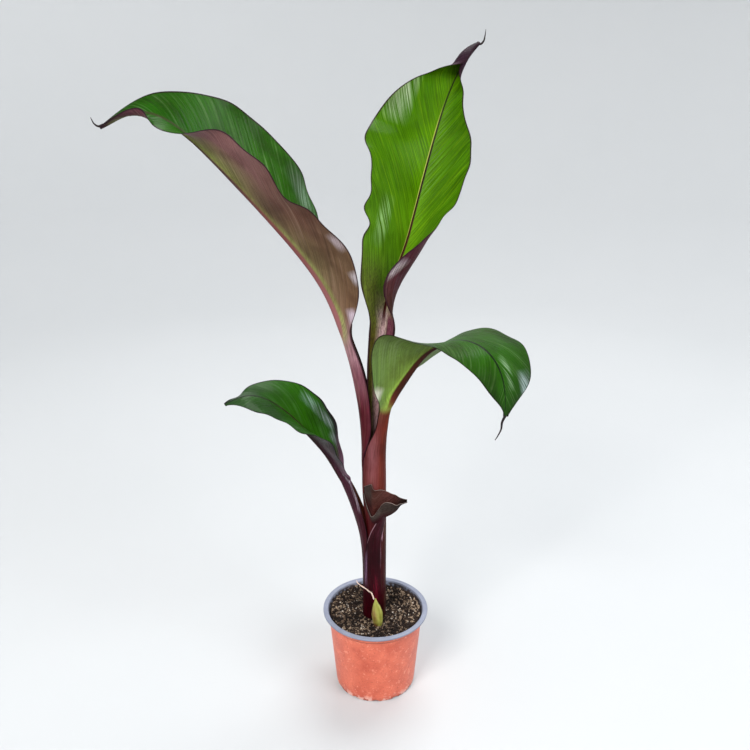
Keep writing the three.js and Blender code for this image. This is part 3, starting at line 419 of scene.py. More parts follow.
LOWER_LEFT_LOOK = {
    # The light browns on the top from 0.3 to 0.44, inside the stalk's groove, are its colour lightened by
    # painted light against the groove's shade
    "top_inner": {0: (120, 50, 40), 0.3: (160, 92, 56), 0.44: (150, 108, 60), 0.49: (96, 70, 36),
                  0.55: (42, 98, 4), 0.8: (36, 86, 2), 1: (32, 70, 18)},
    "top_outer": {0: (110, 40, 36), 0.3: (150, 76, 54), 0.44: (110, 62, 48), 0.49: (44, 20, 30),
                  0.6: (32, 66, 16), 0.75: (38, 88, 6), 1: (34, 68, 24)},
    "under_inner": {0: (48, 6, 14), 0.3: (60, 14, 22), 0.48: (70, 30, 46), 0.62: (52, 22, 34),
                    0.72: (48, 44, 36), 1: (54, 66, 46)},
    "under_outer": {0: (44, 6, 12), 0.3: (56, 12, 22), 0.48: (60, 24, 40), 0.62: (46, 22, 32),
                    0.72: (44, 40, 34), 1: (50, 60, 44)},
    "top_sheen_streak": (120, 150, 108), "under_sheen_streak": (132, 100, 118),
    "sheen_streak_share": {0: 0.3, 0.5: 0.5, 0.65: 0.3, 0.75: 0.15, 1: 0.35},
    # Painted highlights along the margin, near the tip and on the stalk's edge
    "painted_light": [(0.735, 0.05, 31, 8, 0, (160, 188, 180), 0.6, 0.05),
               (0.665, 0.05, 30, 7, 0, (176, 190, 196), 0.65, 0.1),
               (0.61, 0.03, 21, 6, 0, (180, 190, 196), 0.6, 0.2),
               (0.94, 0.05, 6, 12, 0, (140, 158, 140), 0.35, 0.2),
               (0.47, 0.09, -9, 2.5, 1, (226, 210, 226), 0.8, 0.2)],
    "border_scale": 25, "mottle": (30, 10, 16), "mottle_share": {0: 0.3, 0.5: 0.3, 0.56: 0, 1: 0},
    "rib_top": {0: (40, 16, 12), 0.6: (140, 130, 110), 0.7: (44, 30, 20), 1: (16, 14, 10)},
    "rib_under": {0: (50, 20, 26), 1: (40, 30, 26)}, "rib_half": (2, 0.8), "patch_tint": (180, 170, 160),
    "margin": {0: (20, 10, 16), 0.46: (30, 14, 22), 0.52: (120, 84, 104), 0.58: (70, 40, 56),
               0.62: (20, 10, 16), 1: (20, 10, 16)},
    "border": {0: 0.015, 0.46: 0.02, 0.52: 0.06, 0.56: 0.8, 0.6: 0.75, 0.65: 0.26, 0.74: 0.1, 0.82: 0.06,
               1: 0.06},
}
WITHERED_SHEATH_LOOK = {
    "top_inner": {0: (46, 14, 14), 1: (52, 24, 22)}, "top_outer": {0: (46, 14, 14), 1: (52, 24, 22)},
    "under_inner": {0: (54, 2, 12), 0.6: (44, 2, 11), 0.85: (56, 14, 24), 1: (74, 62, 60)},
    "under_outer": {0: (58, 4, 14), 0.6: (44, 2, 11), 0.85: (58, 22, 30), 1: (80, 70, 66)},
    "top_sheen_streak": (90, 54, 50), "under_sheen_streak": (108, 50, 70), "sheen_streak_share": {0: 0.08, 0.3: 0.16, 1: 0.3},
    # Painted highlights along the sheath's edges and down its middle
    "painted_light": [(0.42, 0.16, 10, 2.6, 1, (170, 130, 170), 0.6, 0.3),
               (0.62, 0.2, -7, 2.2, 1, (196, 150, 166), 0.7, 0.3),
               (0.2, 0.2, -1, 4, 1, (120, 20, 44), 0.6, 0.2)],
    "mottle": (26, 3, 8), "mottle_share": {0: 0.5, 1: 0.3}, "rib_top": (40, 14, 12),
    "rib_under": {0: (40, 8, 14), 1: (60, 40, 40)}, "patch_tint": (150, 130, 130),
    "margin": (140, 104, 114), "border": 0.1, "rough": (0.34, 0.5),
}
WITHERED_BLADE_LOOK = {
    "top_inner": {0: (44, 16, 16), 0.3: (50, 18, 18), 0.5: (78, 36, 32), 1: (32, 24, 22)},
    "top_outer": {0: (62, 52, 50), 0.3: (66, 55, 51), 0.45: (80, 48, 42), 0.7: (84, 50, 46),
                  1: (28, 22, 20)},
    "under_inner": {0: (48, 16, 20), 0.3: (50, 14, 20), 0.5: (56, 18, 26), 0.7: (64, 40, 40),
                    1: (34, 28, 26)},
    "under_outer": {0: (62, 52, 50), 0.5: (72, 62, 58), 0.8: (62, 54, 50), 1: (30, 26, 24)},
    "turn": (0.25, 0.7), "top_sheen_streak": (104, 78, 74), "under_sheen_streak": (96, 88, 80), "sheen_streak_share": 0.6,
    "mottle": (30, 10, 12), "mottle_share": 0.35, "rib_top": (40, 20, 18),
    "rib_under": {0: (40, 16, 18), 1: (40, 30, 26)}, "patch_tint": (150, 130, 120),
    "margin": (176, 158, 150), "border": 0.05, "border_share": 0.45, "rough": (0.6, 0.8), "coat": 0,
    "bump": 0.0009,
}

# Noise patterns of leaf skin: the steps along and across the leaf, the detail and the roughness
PATTERNS = {
    "vein_streak": (0.22, 0.02, 3), "stalk_streak": (0.012, 0.45, 3), "vein_line": (0.9, 0.04, 2),
    "stalk_line": (0.05, 1.4, 2), "patch": (0.03, 0.045, 3), "mottle": (0.25, 0.9, 3, 0.7),
}
# The ranges of a pattern's value, or of a distance, over which each effect on leaf skin sets in
SKIN = {
    "streak": (0.52, 0.68), "streak_patch": (0.35, 0.6, 0.2), "streak_inset": (1.0, 6.0), "painted_light_core": 0.3,
    "painted_light_streaks": (0.88, 1.16), "line": (0.38, 0.6), "line_tint": (130, 130, 130), "patch": (0.55, 0.35),
    "mottle": (0.5, 0.58), "rib_place": (0.4, 1.0), "rib_edge": (-0.4, 0.5), "rib_line": (0.5, 1.1),
    "rib_line_side": (0.0, -0.4), "border": (0.35, 1.0), "rough": (0.3, 0.7), "rougher_under": 0.1,
    "streak_relief": 0.8, "line_relief": 0.6, "bump_strength": 0.7,
}

LEAVES = [
    {"name": "upper_left_leaf", "parts": [UPPER_LEFT_STALK, UPPER_LEFT_BLADE], "look": UPPER_LEFT_LOOK,
     "seed": 21, "nodes": ["upper_left_leaf_stalk", "upper_left_leaf_blade_rising_half",
                           "upper_left_leaf_blade_tip_half"]},
    {"name": "upright_leaf", "parts": [UPRIGHT_STALK, UPRIGHT_BLADE], "look": UPRIGHT_LOOK, "seed": 22,
     "nodes": ["upright_leaf_stalk", "upright_leaf_blade"]},
    {"name": "right_leaf", "parts": [RIGHT_SHEATH, RIGHT_STALK, RIGHT_BLADE], "look": RIGHT_LOOK,
     "seed": 23, "nodes": ["pseudostem", "right_leaf_stalk", "right_leaf_blade_rising_half",
                           "right_leaf_blade_hanging_half"]},
    {"name": "lower_left_leaf", "parts": [LOWER_LEFT_STALK, LOWER_LEFT_BLADE], "look": LOWER_LEFT_LOOK,
     "seed": 24, "nodes": ["lower_left_leaf_sheath_and_stalk", "lower_left_leaf_blade"]},
    {"name": "withered_sheath", "parts": [WITHERED_SHEATH], "look": WITHERED_SHEATH_LOOK, "seed": 25,
     "nodes": ["withered_leaf_sheath"], "slot": "dark_sheath", "columns": 30},
    {"name": "withered_blade", "parts": [WITHERED_BLADE], "look": WITHERED_BLADE_LOOK, "seed": 26,
     "nodes": ["withered_leaf_blade"], "slot": "withered_leaf", "columns": 44, "step": 0.9,
     "upright": True, "crumple": 0.5},
]


def keyed(keys, s):
    """Smooth values at the places s, by a monotone cubic through the values by place."""
    if not isinstance(keys, dict):
        return np.full(np.shape(s), float(keys))
    places, values = np.array(list(keys.items()), float).T
    slopes = np.diff(values) / np.diff(places)
    before, after = slopes[:-1], slopes[1:]
    total = np.where(before * after > 0, before + after, 1.0)
    inner = np.where(before * after > 0, 2 * before * after / total, 0.0)
    tangents = np.concatenate([slopes[:1], inner, slopes[-1:]])
    s = np.clip(s, places[0], places[-1])
    i = np.clip(np.searchsorted(places, s) - 1, 0, len(places) - 2)
    h = places[i + 1] - places[i]
    t = (s - places[i]) / h
    early = (2 * t**3 - 3 * t**2 + 1) * values[i] + (t**3 - 2 * t**2 + t) * h * tangents[i]
    late = (3 * t**2 - 2 * t**3) * values[i + 1] + (t**3 - t**2) * h * tangents[i + 1]
    return early + late


def smoothstep(x, low, high):
    t = np.clip((x - low) / (high - low), 0, 1)
    return t * t * (3 - 2 * t)


def unit(v):
    return v / np.linalg.norm(v, axis=-1, keepdims=True)


def waves(places, lengths, seed, count=7, spread=(0.8, 1.25)):
    """Smooth random heights of about -1 to 1 at the places, with features of about the given lengths."""
    draw = np.random.default_rng(seed)
    places = np.asarray(places, float)
    total = np.zeros(places.shape[:-1])
    for length in lengths:
        for _ in range(count):
            way = unit(draw.normal(size=places.shape[-1]))
            turns = 2 * math.pi / (length * draw.uniform(*spread))
            total += np.cos(places @ way * turns + draw.uniform(0, 2 * math.pi))
    return total / math.sqrt(count * len(lengths))


def softened(values, rows):
    """Values along the first axis, averaged with their neighbours over about that many rows."""
    reach = int(3 * rows)
    weights = np.exp(-0.5 * (np.arange(-reach, reach + 1) / rows) ** 2)
    weights /= weights.sum()
    padded = np.concatenate([np.repeat(values[:1], reach, 0), values, np.repeat(values[-1:], reach, 0)])
    return np.apply_along_axis(lambda column: np.convolve(column, weights, "valid"), 0, padded)


def circle(sides):
    return 2 * np.pi * np.arange(sides) / sides


def round_middle(radius, angle, height):
    """Points at the radius and the angle round the pot's middle line, at the height."""
    return np.stack([radius * np.cos(angle), radius * np.sin(angle), height + 0 * radius * angle], -1)


def climbing_line(part, rows, steps=12):
    """Evenly spaced points of a line that climbs and turns by angles along it."""
    count = rows * steps
    s = (np.arange(count) + 0.5) / count
    up = np.radians(keyed(part["climb"], s))
    around = np.radians(keyed(part["turn"], s))
    moves = np.stack([np.cos(up) * np.cos(around), np.cos(up) * np.sin(around), np.sin(up)], 1)
    line = np.concatenate([np.zeros((1, 3)), np.cumsum(moves * part["length"] / count, 0)])
    return np.array(part["start"], float) + line[::steps]


def spline_line(points, rows, steps=40):
    """Evenly spaced points of a centripetal Catmull-Rom curve."""
    p = np.array(points, float)
    p = np.concatenate([[2 * p[0] - p[1]], p, [2 * p[-1] - p[-2]]])
    t = np.linspace(0, 1, steps, endpoint=False)[:, None]
    dense = []
    for a, b, c, d in zip(p[:-3], p[1:-2], p[2:-1], p[3:]):
        first, middle, last = (np.linalg.norm(v) ** 0.5 for v in (b - a, c - b, d - c))
        out = middle * ((b - a) / first - (c - a) / (first + middle) + (c - b) / middle)
        into = middle * ((c - b) / middle - (d - b) / (middle + last) + (d - c) / last)
        square, cube = 3 * (c - b) - 2 * out - into, 2 * (b - c) + out + into
        dense.append(b + out * t + square * t**2 + cube * t**3)
    dense = np.concatenate([*dense, [p[-2]]])
    run = np.concatenate([[0], np.cumsum(np.linalg.norm(np.diff(dense, axis=0), axis=1))])
    at = np.linspace(0, run[-1], rows + 1)
    return np.stack([np.interp(at, run, dense[:, k]) for k in range(3)], 1)


def blade_width(half, s):
    """A blade half's width: an outline that rises from the base and falls to the tip, and its trim."""
    rise, fall = half["shape"]
    peak = rise / (rise + fall)
    outline = (s / peak) ** rise * ((1 - s) / (1 - peak)) ** fall
    from_stalk = half["base"] * (1 - smoothstep(s, 0, LEAF["base_fade"]))
    width = half["width"] * keyed(half["trim"], s) * outline
    return np.maximum(np.maximum(width, from_stalk), LEAF["tip_half"])


def part_length(part, rows=60):
    if "length" in part:
        return part["length"]
    return float(np.linalg.norm(np.diff(spline_line(part["points"], rows), axis=0), axis=1).sum())


def part_rows(part, n, parts, step):
    """The rows of a leaf's part: its line, and each value along it. Only the first has the foot's row."""
    is_blade = "length" in part
    count = max(LEAF["least_rows"], round(part_length(part) / step))
    s = np.linspace(0, 1, count + 1)
    rows = {
        "line": climbing_line(part, count) if is_blade else spline_line(part["points"], count),
        "lean": keyed(part["lean"], s), "body": keyed(part["body"], s),
        "margin": keyed(part.get("margin", LEAF["lamina"]), s), "blade": keyed(is_blade, s),
        "place": (s + n) / parts,
    }
    for side in ("left", "right"):
        half = part[side]
        rows[side + "_width"] = blade_width(half, s) if is_blade else keyed(half["width"], s)
        for key in ("lift", "curl"):
            rows[side + "_" + key] = keyed(half[key], s)
    return {key: values[1 if n else 0:] for key, values in rows.items()}


def leaf_rows(parts, step):
    """The rows of a whole leaf, from its foot to its tip, softened so that its parts join smoothly."""
    every = [part_rows(part, n, len(parts), step) for n, part in enumerate(parts)]
    rows = {key: np.concatenate([of_part[key] for of_part in every]) for key in every[0]}
    rows["line"][1:-1] = softened(rows["line"], LEAF["line_soften"])[1:-1]
    for key in rows.keys() - {"line", "place"}:
        rows[key] = softened(rows[key], LEAF["soften"])
    return rows


def leaf_surface(rows, columns, upright):
    """The leaf's upper face as a grid of points, and each one's distance from the rib and the margin."""
    line = rows["line"]
    tangent = unit(np.gradient(line, axis=0))
    around = np.radians(rows["lean"])
    side = np.stack([np.sin(around), -np.cos(around), np.zeros(len(around))], 1)
    if upright:
        up = np.tile([0.0, 0.0, 1.0], (len(line), 1))
    else:
        side = unit(side - (side * tangent).sum(1, keepdims=True) * tangent)
        up = np.cross(side, tangent)
    share = np.arange(1, columns + 1) / columns
    grids, across = [], []
    for name, away in (("left", -1.0), ("right", 1.0)):
        lift = np.radians(rows[name + "_lift"])[:, None]
        curl = np.radians(rows[name + "_curl"])[:, None]
        curl = np.where(np.abs(curl) < LEAF["least_curl"], LEAF["least_curl"], curl)
        angle = lift + curl * share
        width = rows[name + "_width"][:, None]
        out = (np.sin(angle) - np.sin(lift)) / curl * width
        rise = (np.cos(lift) - np.cos(angle)) / curl * width
        outwards, upwards = away * out[..., None] * side[:, None], rise[..., None] * up[:, None]
        grids.append(line[:, None] + outwards + upwards)
        across.append(away * share * width)
    grid = np.concatenate([grids[0][:, ::-1], line[:, None], grids[1]], 1)
    across = np.concatenate([across[0][:, ::-1], np.zeros((len(line), 1)), across[1]], 1)
    width = np.where(across < 0, rows["left_width"][:, None], rows["right_width"][:, None])
    return grid, across, width - np.abs(across)


def grid_normals(grid):
    return unit(np.cross(np.gradient(grid, axis=1), np.gradient(grid, axis=0)))


def grid_faces(rows, columns, start=0, closed=False):
    """Quads between the rows of a grid of vertices, wound so that they face along the grid's normals."""
    wide = columns if closed else columns - 1
    i, j = np.meshgrid(np.arange(rows - 1), np.arange(wide), indexing="ij")
    a = start + i * columns + j
    b = start + i * columns + (j + 1) % columns
    return np.stack([a, b, b + columns, a + columns], -1).reshape(-1, 4)


def scene_object(name, data):
    made = bpy.data.objects.new(name, data)
    bpy.context.scene.collection.objects.link(made)
    return made


def mesh_object(name, points, faces, finish, smooth=True):
    """An object of points in metres."""
    mesh = bpy.data.meshes.new(name)
    mesh.from_pydata(np.asarray(points).reshape(-1, 3).tolist(), [], [list(map(int, f)) for f in faces])
    mesh.materials.append(finish)
    mesh.polygons.foreach_set("use_smooth", np.full(len(mesh.polygons), smooth))
    return scene_object(name, mesh)


def mesh_piece(name, points, faces, finish, values=None, smooth=True):
    """A piece of the plant, of points in millimetres. "values" has numbers by name, one to a point."""
    piece = mesh_object(name, np.asarray(points) * METRES, faces, finish, smooth)
    for key, numbers in (values or {}).items():
        attribute = piece.data.attributes.new(key, "FLOAT", "POINT")
        attribute.data.foreach_set("value", np.asarray(numbers, np.float32).ravel())
    piece.data.validate()
    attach(piece, "root")
    return piece


def two_faced(upper, lower):
    """Points and faces of a closed thin body between two grids."""
    rows, columns = upper.shape[:2]
    points = np.concatenate([upper.reshape(-1, 3), lower.reshape(-1, 3)])
    top = grid_faces(rows, columns)
    under = grid_faces(rows, columns, rows * columns)[:, ::-1]
    ring = np.concatenate([
        np.arange(columns),
        np.arange(1, rows) * columns + columns - 1,
        (rows - 1) * columns + np.arange(columns - 2, -1, -1),
        np.arange(rows - 2, 0, -1) * columns,
    ])
    following = np.roll(ring, -1)
    below = rows * columns
    band = np.stack([ring, ring + below, following + below, following], 1)
    return points, np.concatenate([top, under, band])


def leaf_measures(rows, across, inset, seed):
    """Where each point is: along the leaf and its vein, across it, and in from its margin."""
    run = np.linalg.norm(np.diff(rows["line"], axis=0), axis=1)
    along = np.broadcast_to(np.concatenate([[0], np.cumsum(run)])[:, None], across.shape)
    far = np.abs(across)
    vein = along - LEAF["vein_slant"] * far
    wander = waves(np.stack([vein, LEAF["wander_across"] * far], -1), LEAF["wander_lengths"], seed)
    return {
        "along": along, "across": across, "inset": inset, "vein": vein + LEAF["vein_wander"] * wander,
        "edge": far / np.maximum(far + inset, LEAF["least_half"]),
        **{key: np.broadcast_to(rows[key][:, None], across.shape) for key in ("blade", "place")},
    }


def leaf_relief(grid, at, seed, crumple):
    """How far each point stands out: pleats and a rippled margin on the blade, ridges on the stalk."""
    along, across, far, blade = at["along"], at["across"], np.abs(at["across"]), at["blade"]
    off_rib, off_margin = smoothstep(far, *LEAF["off_rib"]), smoothstep(at["inset"], *LEAF["off_margin"])
    pleats = LEAF["pleat_height"] * np.cos(2 * np.pi * at["vein"] / LEAF["pleat"]) * off_rib * off_margin
    wander = waves(along[..., None], LEAF["ridge_lengths"], seed)
    ridges = LEAF["ridge_height"] * np.cos(2 * np.pi * across / LEAF["ridge"] + wander)
    sides = np.stack([along, LEAF["ripple_side"] * np.sign(across)], -1)
    rippled = LEAF["ripple"] * at["edge"]**4 * waves(sides, LEAF["ripple_lengths"], seed + 1)
    crumpled = smoothstep(far, *LEAF["crumple_fade"]) * waves(grid, LEAF["crumple_lengths"], seed + 2)
    return blade * (pleats + rippled) + (1 - blade) * ridges + crumple * crumpled


def leaf_thickness(rows, at):
    """The leaf's thickness: a round rib under the blade, and a body that thins to the stalk's margin."""
    body, margin, far = rows["body"][:, None], rows["margin"][:, None], np.abs(at["across"])
    reach = LEAF["rib_reach"] * body + LEAF["rib_extra"]
    rib = np.cos(0.5 * np.pi * np.clip(far / reach, 0, 1)) ** 2
    blade_thick = LEAF["lamina"] + (body - LEAF["lamina"]) * rib
    stalk_thick = margin + (body - margin) * (1 - np.sqrt(at["edge"]**2 + LEAF["stalk_round"])).clip(0)
    thick = at["blade"] * blade_thick + (1 - at["blade"]) * stalk_thick
    thin = LEAF["thin_edge"]
    return thick * (thin + (1 - thin) * smoothstep(at["inset"], *LEAF["edge_fade"]))


def leaf_piece(name, parts, look, seed, nodes, slot="leaf_blade", columns=LEAF["columns"],
               step=LEAF["row_step"], upright=False, crumple=0.0):
    """One leaf from its foot to its tip, in place of its nodes."""
    rows = leaf_rows(parts, step)
    grid, across, inset = leaf_surface(rows, columns, upright)
    normals = grid_normals(grid)
    at = leaf_measures(rows, across, inset, seed)
    relief = leaf_relief(grid, at, seed, crumple)
    upper = grid + relief[..., None] * normals
    lower = grid + (relief - leaf_thickness(rows, at))[..., None] * normals
    points, faces = two_faced(upper, lower)
    values = {key: np.concatenate([value.ravel(), value.ravel()]) for key, value in at.items()}
    values["under"] = np.repeat([0.0, 1.0], across.size)
    piece = mesh_piece(name, points, faces, leaf_finish(name + "_finish", look), values)
    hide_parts(*nodes)
    return piece


def tube(line, radius, rows, sides):
    """A grid of points and the faces of a closed round body along a curve through the line's points."""
    line = spline_line(line, rows) if len(line) > 2 else np.linspace(line[0], line[-1], rows + 1)
    tangent = unit(np.gradient(line, axis=0))
    start = np.array([1.0, 0.0, 0.0]) if abs(tangent[0, 0]) < 0.8 else np.array([0.0, 1.0, 0.0])
    side = unit(start - (tangent @ start)[:, None] * tangent)
    up = np.cross(side, tangent)
    angle = circle(sides)[None, :, None]
    reach = keyed(radius, np.linspace(0, 1, rows + 1))[:, None, None]
    grid = line[:, None] + reach * (np.cos(angle) * side[:, None] - np.sin(angle) * up[:, None])
    first = np.arange(sides)
    return grid, [*grid_faces(rows + 1, sides, closed=True), first[::-1], rows * sides + first]


def tone(value):
    """A shader's colour, from channels of 0 to 255 as a screen shows them, or from one share as a grey."""
    if not isinstance(value, tuple):
        return (value, value, value, 1.0)
    c = np.array(value, float) / 255
    linear = np.where(c <= 0.04045, c / 12.92, ((c + 0.055) / 1.055) ** 2.4)
    return (*linear.tolist(), 1.0)


class Finish:
    """A procedural material, made node by node."""

    def __init__(self, name, **sockets):
        self.material = bpy.data.materials.new(name)
        self.material.use_nodes = True
        self.tree = self.material.node_tree
        self.tree.nodes.clear()
        output = self.tree.nodes.new("ShaderNodeOutputMaterial")
        self.shader = self.tree.nodes.new("ShaderNodeBsdfPrincipled")
        self.tree.links.new(self.shader.outputs["BSDF"], output.inputs["Surface"])
        self.tree.nodes.active = self.shader
        self.shade(**sockets)

    def shade(self, **sockets):
        """Sets the shader's sockets, whose names have spaces in place of underscores."""
        for socket, value in sockets.items():
            self.set(self.shader.inputs[socket.replace("_", " ")], value)

    def set(self, socket, value):
        if isinstance(value, bpy.types.NodeSocket):
            self.tree.links.new(value, socket)
        else:
            socket.default_value = value

    def node(self, kind, inputs, output=0, **settings):
        made = self.tree.nodes.new(kind)
        for key, value in settings.items():
            setattr(made, key, value)
        for key, value in inputs.items():
            self.set(made.inputs[key], value)
        return made.outputs[output]

    def value(self, name):
        return self.node("ShaderNodeAttribute", {}, "Fac", attribute_name=name)

    def place(self):
        return self.node("ShaderNodeTexCoord", {}, "Object")

    def height(self, place):
        return self.node("ShaderNodeSeparateXYZ", {0: place}, 2)

    def math(self, operation, a, b=0.0):
        return self.node("ShaderNodeMath", {0: a, 1: b}, operation=operation)

    def times(self, first, *others):
        for other in others:
            first = self.math("MULTIPLY", first, other)
        return first

    def noise(self, vector, scale=1.0, detail=2.0, roughness=0.5):
        inputs = {"Vector": vector, "Scale": scale, "Detail": detail, "Roughness": roughness}
        return self.node("ShaderNodeTexNoise", inputs, "Fac")

    def pattern(self, along, across, along_step, across_step, *detail):
        """Noise that changes along and across a surface by steps of its own."""
        vector = {0: self.times(along, along_step), 1: self.times(across, across_step), 2: 0.0}
        return self.noise(self.node("ShaderNodeCombineXYZ", vector), 1.0, *detail)

    def range(self, value, low, high, from_=0.0, to=1.0):
        return self.node("ShaderNodeMapRange", {0: value, 1: low, 2: high, 3: from_, 4: to})

    def near(self, value, middle, reach, core):
        """1 within the core's distance of the middle, falling to 0 at the reach."""
        return self.range(self.math("ABSOLUTE", self.math("SUBTRACT", value, middle)), reach, core)

    def mix(self, factor, a, b, blend="MIX"):
        return self.node("ShaderNodeMix", {0: factor, 6: a, 7: b}, 2, data_type="RGBA", blend_type=blend)

    def darken(self, factor, colour, by):
        return self.mix(factor, colour, by, "MULTIPLY")

    def ramp(self, value, stops):
        """A colour or a share by place. One that stays the same needs no ramp."""
        if not isinstance(stops, dict):
            return tone(stops) if isinstance(stops, tuple) else stops
        made = self.tree.nodes.new("ShaderNodeValToRGB")
        made.color_ramp.interpolation = "EASE"
        elements = made.color_ramp.elements
        first, *between, last = stops.items()
        for at, stop in between:
            elements.new(at).color = tone(stop)
        for element, (at, stop) in ((elements[0], first), (elements[len(stops) - 1], last)):
            element.position = at
            element.color = tone(stop)
        self.set(made.inputs[0], value)
        return made.outputs[0]

    def bump(self, height, distance, strength):
        inputs = {"Height": height, "Distance": distance, "Strength": strength}
        self.shade(Normal=self.node("ShaderNodeBump", inputs))


def leaf_patterns(f, at):
    """The noise of leaf skin: streaks and fine lines along the veins or the stalk, patches and mottle."""
    noise = {}
    for name, steps in PATTERNS.items():
        lengthwise = at["vein"] if name.startswith("vein") else at["along"]
        noise[name] = f.pattern(lengthwise, at["across"], *steps)
    for kind in ("streak", "line"):
        noise[kind] = f.mix(at["blade"], noise["stalk_" + kind], noise["vein_" + kind])
    return noise


def face_colours(f, at, look):
    """The colours of the top and the underside, from the rib to the margin."""
    place = at["place"]
    towards_edge = f.range(at["edge"], *look["turn"])
    faces = [f.mix(towards_edge, *(f.ramp(place, look[face + part]) for part in ("_inner", "_outer")))
             for face in ("top", "under")]
    if "right_top" in look:
        share = f.times(f.range(at["across"], *look["right_reach"]), f.ramp(place, look["right_share"]))
        faces[0] = f.mix(share, faces[0], f.ramp(place, look["right_top"]))
    colour = f.mix(at["under"], *faces)
    if "beside" in look:
        band = f.range(at["far"], *look["beside_reach"], 1.0, 0.0)
        share = f.times(band, f.ramp(place, look["beside_share"]), at["under"])
        colour = f.mix(share, colour, f.ramp(place, look["beside"]))
    return colour


def with_sheen_streaks(f, at, look, noise, colour):
    """The colour with pale vein streaks in patches, partly a painted sheen."""
    # The streak colours are the veins' own pale tint with a painted sheen in it
    light = f.mix(at["under"], tone(look["top_sheen_streak"]), tone(look["under_sheen_streak"]))
    patches = f.range(noise["patch"], *SKIN["streak_patch"], look["streak"])
    share = f.times(f.range(noise["streak"], *SKIN["streak"]), patches,
                    f.range(at["inset"], *SKIN["streak_inset"]), f.ramp(at["place"], look["sheen_streak_share"]))
    return f.mix(share, colour, light)


def with_painted_light(f, at, look, noise, colour):
    """The colour with each painted light patch: a painted highlight where its colour is pale, a painted
    shade where it is dark.
    """
    core = SKIN["painted_light_core"]
    # Painted highlights and painted shade, fixed to the surface
    for place, half, across, reach, face, tint, share, smooth in look["painted_light"]:
        lengthwise = f.near(at["place"], place, half, core * half)
        sideways = f.near(at["across"], across, reach, core * reach)
        both = f.math("ADD", noise["streak"], noise["line"])
        streaked_light = f.range(both, *SKIN["painted_light_streaks"], smooth * share, share)
        on_face = f.range(at["under"], 1 - face, face)
        colour = f.mix(f.times(lengthwise, sideways, streaked_light, on_face), colour, tone(tint))
    return colour


def with_lines(f, at, look, noise, colour):
    """The colour with fine dark lines, tinted patches and mottle."""
    lines = f.range(noise["line"], *SKIN["line"], look["thin"], 0.0)
    colour = f.darken(lines, colour, tone(SKIN["line_tint"]))
    patches = f.range(noise["patch"], *SKIN["patch"], 0.0, look["patch"])
    colour = f.darken(patches, colour, tone(look["patch_tint"]))
    share = f.times(f.range(noise["mottle"], *SKIN["mottle"]), f.ramp(at["place"], look["mottle_share"]))
    return f.mix(share, colour, tone(look["mottle"]))


def with_rib_and_border(f, at, look, colour):
    """The colour with the rib's own, a pale line on one side of it, and a dark band along the margin."""
    place, across, under = at["place"], at["across"], at["under"]
    rib_half = f.range(place, *SKIN["rib_place"], *look["rib_half"])
    off_rib = f.math("SUBTRACT", at["far"], rib_half)
    on_rib = f.times(f.range(off_rib, *SKIN["rib_edge"], 1.0, 0.0), at["blade"])
    if "rib_line" in look:
        off_line = f.math("SUBTRACT", f.times(across, -1.0), rib_half)
        line = f.times(f.range(off_line, *SKIN["rib_line"], 1.0, 0.0),
                       f.range(across, *SKIN["rib_line_side"]), f.ramp(place, look["rib_line_share"]),
                       f.range(under, 0.0, 1.0, 1.0, 0.0))
        colour = f.mix(line, colour, tone(look["rib_line"]))
    rib = f.mix(under, f.ramp(place, look["rib_top"]), f.ramp(place, look["rib_under"]))
    colour = f.mix(on_rib, colour, rib)
    reach = f.times(f.ramp(place, look["border"]), look["border_scale"])
    border = f.range(f.math("DIVIDE", at["inset"], reach), *SKIN["border"], 1.0, 0.0)
    return f.mix(f.times(border, look["border_share"]), colour, f.ramp(place, look["margin"]))


def leaf_finish(name, look):
    """Leaf skin, in colours by place along the leaf, on each face by the rib and by the margin."""
    look = {**PLAIN_LOOK, **look}
    f = Finish(name, Specular_IOR_Level=look["specular"], Coat_Weight=look["coat"], Coat_Roughness=0.2)
    keys = ("along", "across", "inset", "vein", "edge", "blade", "place", "under")
    at = {key: f.value(key) for key in keys}
    at["far"] = f.math("ABSOLUTE", at["across"])
    noise = leaf_patterns(f, at)
    colour = face_colours(f, at, look)
    for step in (with_sheen_streaks, with_painted_light, with_lines):
        colour = step(f, at, look, noise, colour)
    rough = f.range(noise["streak"], *SKIN["rough"], *look["rough"])
    f.shade(Base_Color=with_rib_and_border(f, at, look, colour),
            Roughness=f.math("ADD", rough, f.times(at["under"], SKIN["rougher_under"])))
    relief = [f.times(noise[kind], SKIN[kind + "_relief"]) for kind in ("streak", "line")]
    f.bump(f.math("ADD", *relief), look["bump"], SKIN["bump_strength"])
    return f.material


def pot_finish():
    f = Finish("pot_plastic_finish", Specular_IOR_Level=0.4)
    skin, place = POT_SKIN, f.place()
    height = f.height(place)
    noise = {name: f.noise(place, *skin[name]) for name in ("speck", "spot", "cloud", "crust")}
    cloud = f.range(noise["cloud"], *skin["cloud_range"])
    clay, rim = (f.mix(cloud, *map(tone, skin[name])) for name in ("clay", "rim"))
    for name, low, high, share, tint in skin["marks"]:
        clay = f.mix(f.range(noise[name], low, high, 0.0, share), clay, tone(tint))
    for heights, shown, share, tint in skin["foot_marks"]:
        mark = f.times(f.range(height, *heights), f.range(noise["spot"], *shown), share)
        clay = f.mix(mark, clay, tone(tint))
    # Painted shade along the ledge's step
    line = f.times(f.near(height, *skin["ledge_shade_line"]), skin["ledge_shade_share"])
    clay = f.darken(line, clay, tone(skin["ledge_shade_tint"]))
    dirty = f.times(f.range(height, *skin["dirt_height"]), f.range(noise["crust"], *skin["dirt_range"]),
                    skin["dirt_share"])
    rim = f.mix(dirty, rim, tone(skin["dirt"]))
    f.shade(Base_Color=f.mix(f.value("rim"), clay, rim),
            Roughness=f.range(noise["cloud"], *skin["cloud_range"], *skin["rough"]))
    f.bump(noise["speck"], *skin["bump"])
    return f.material


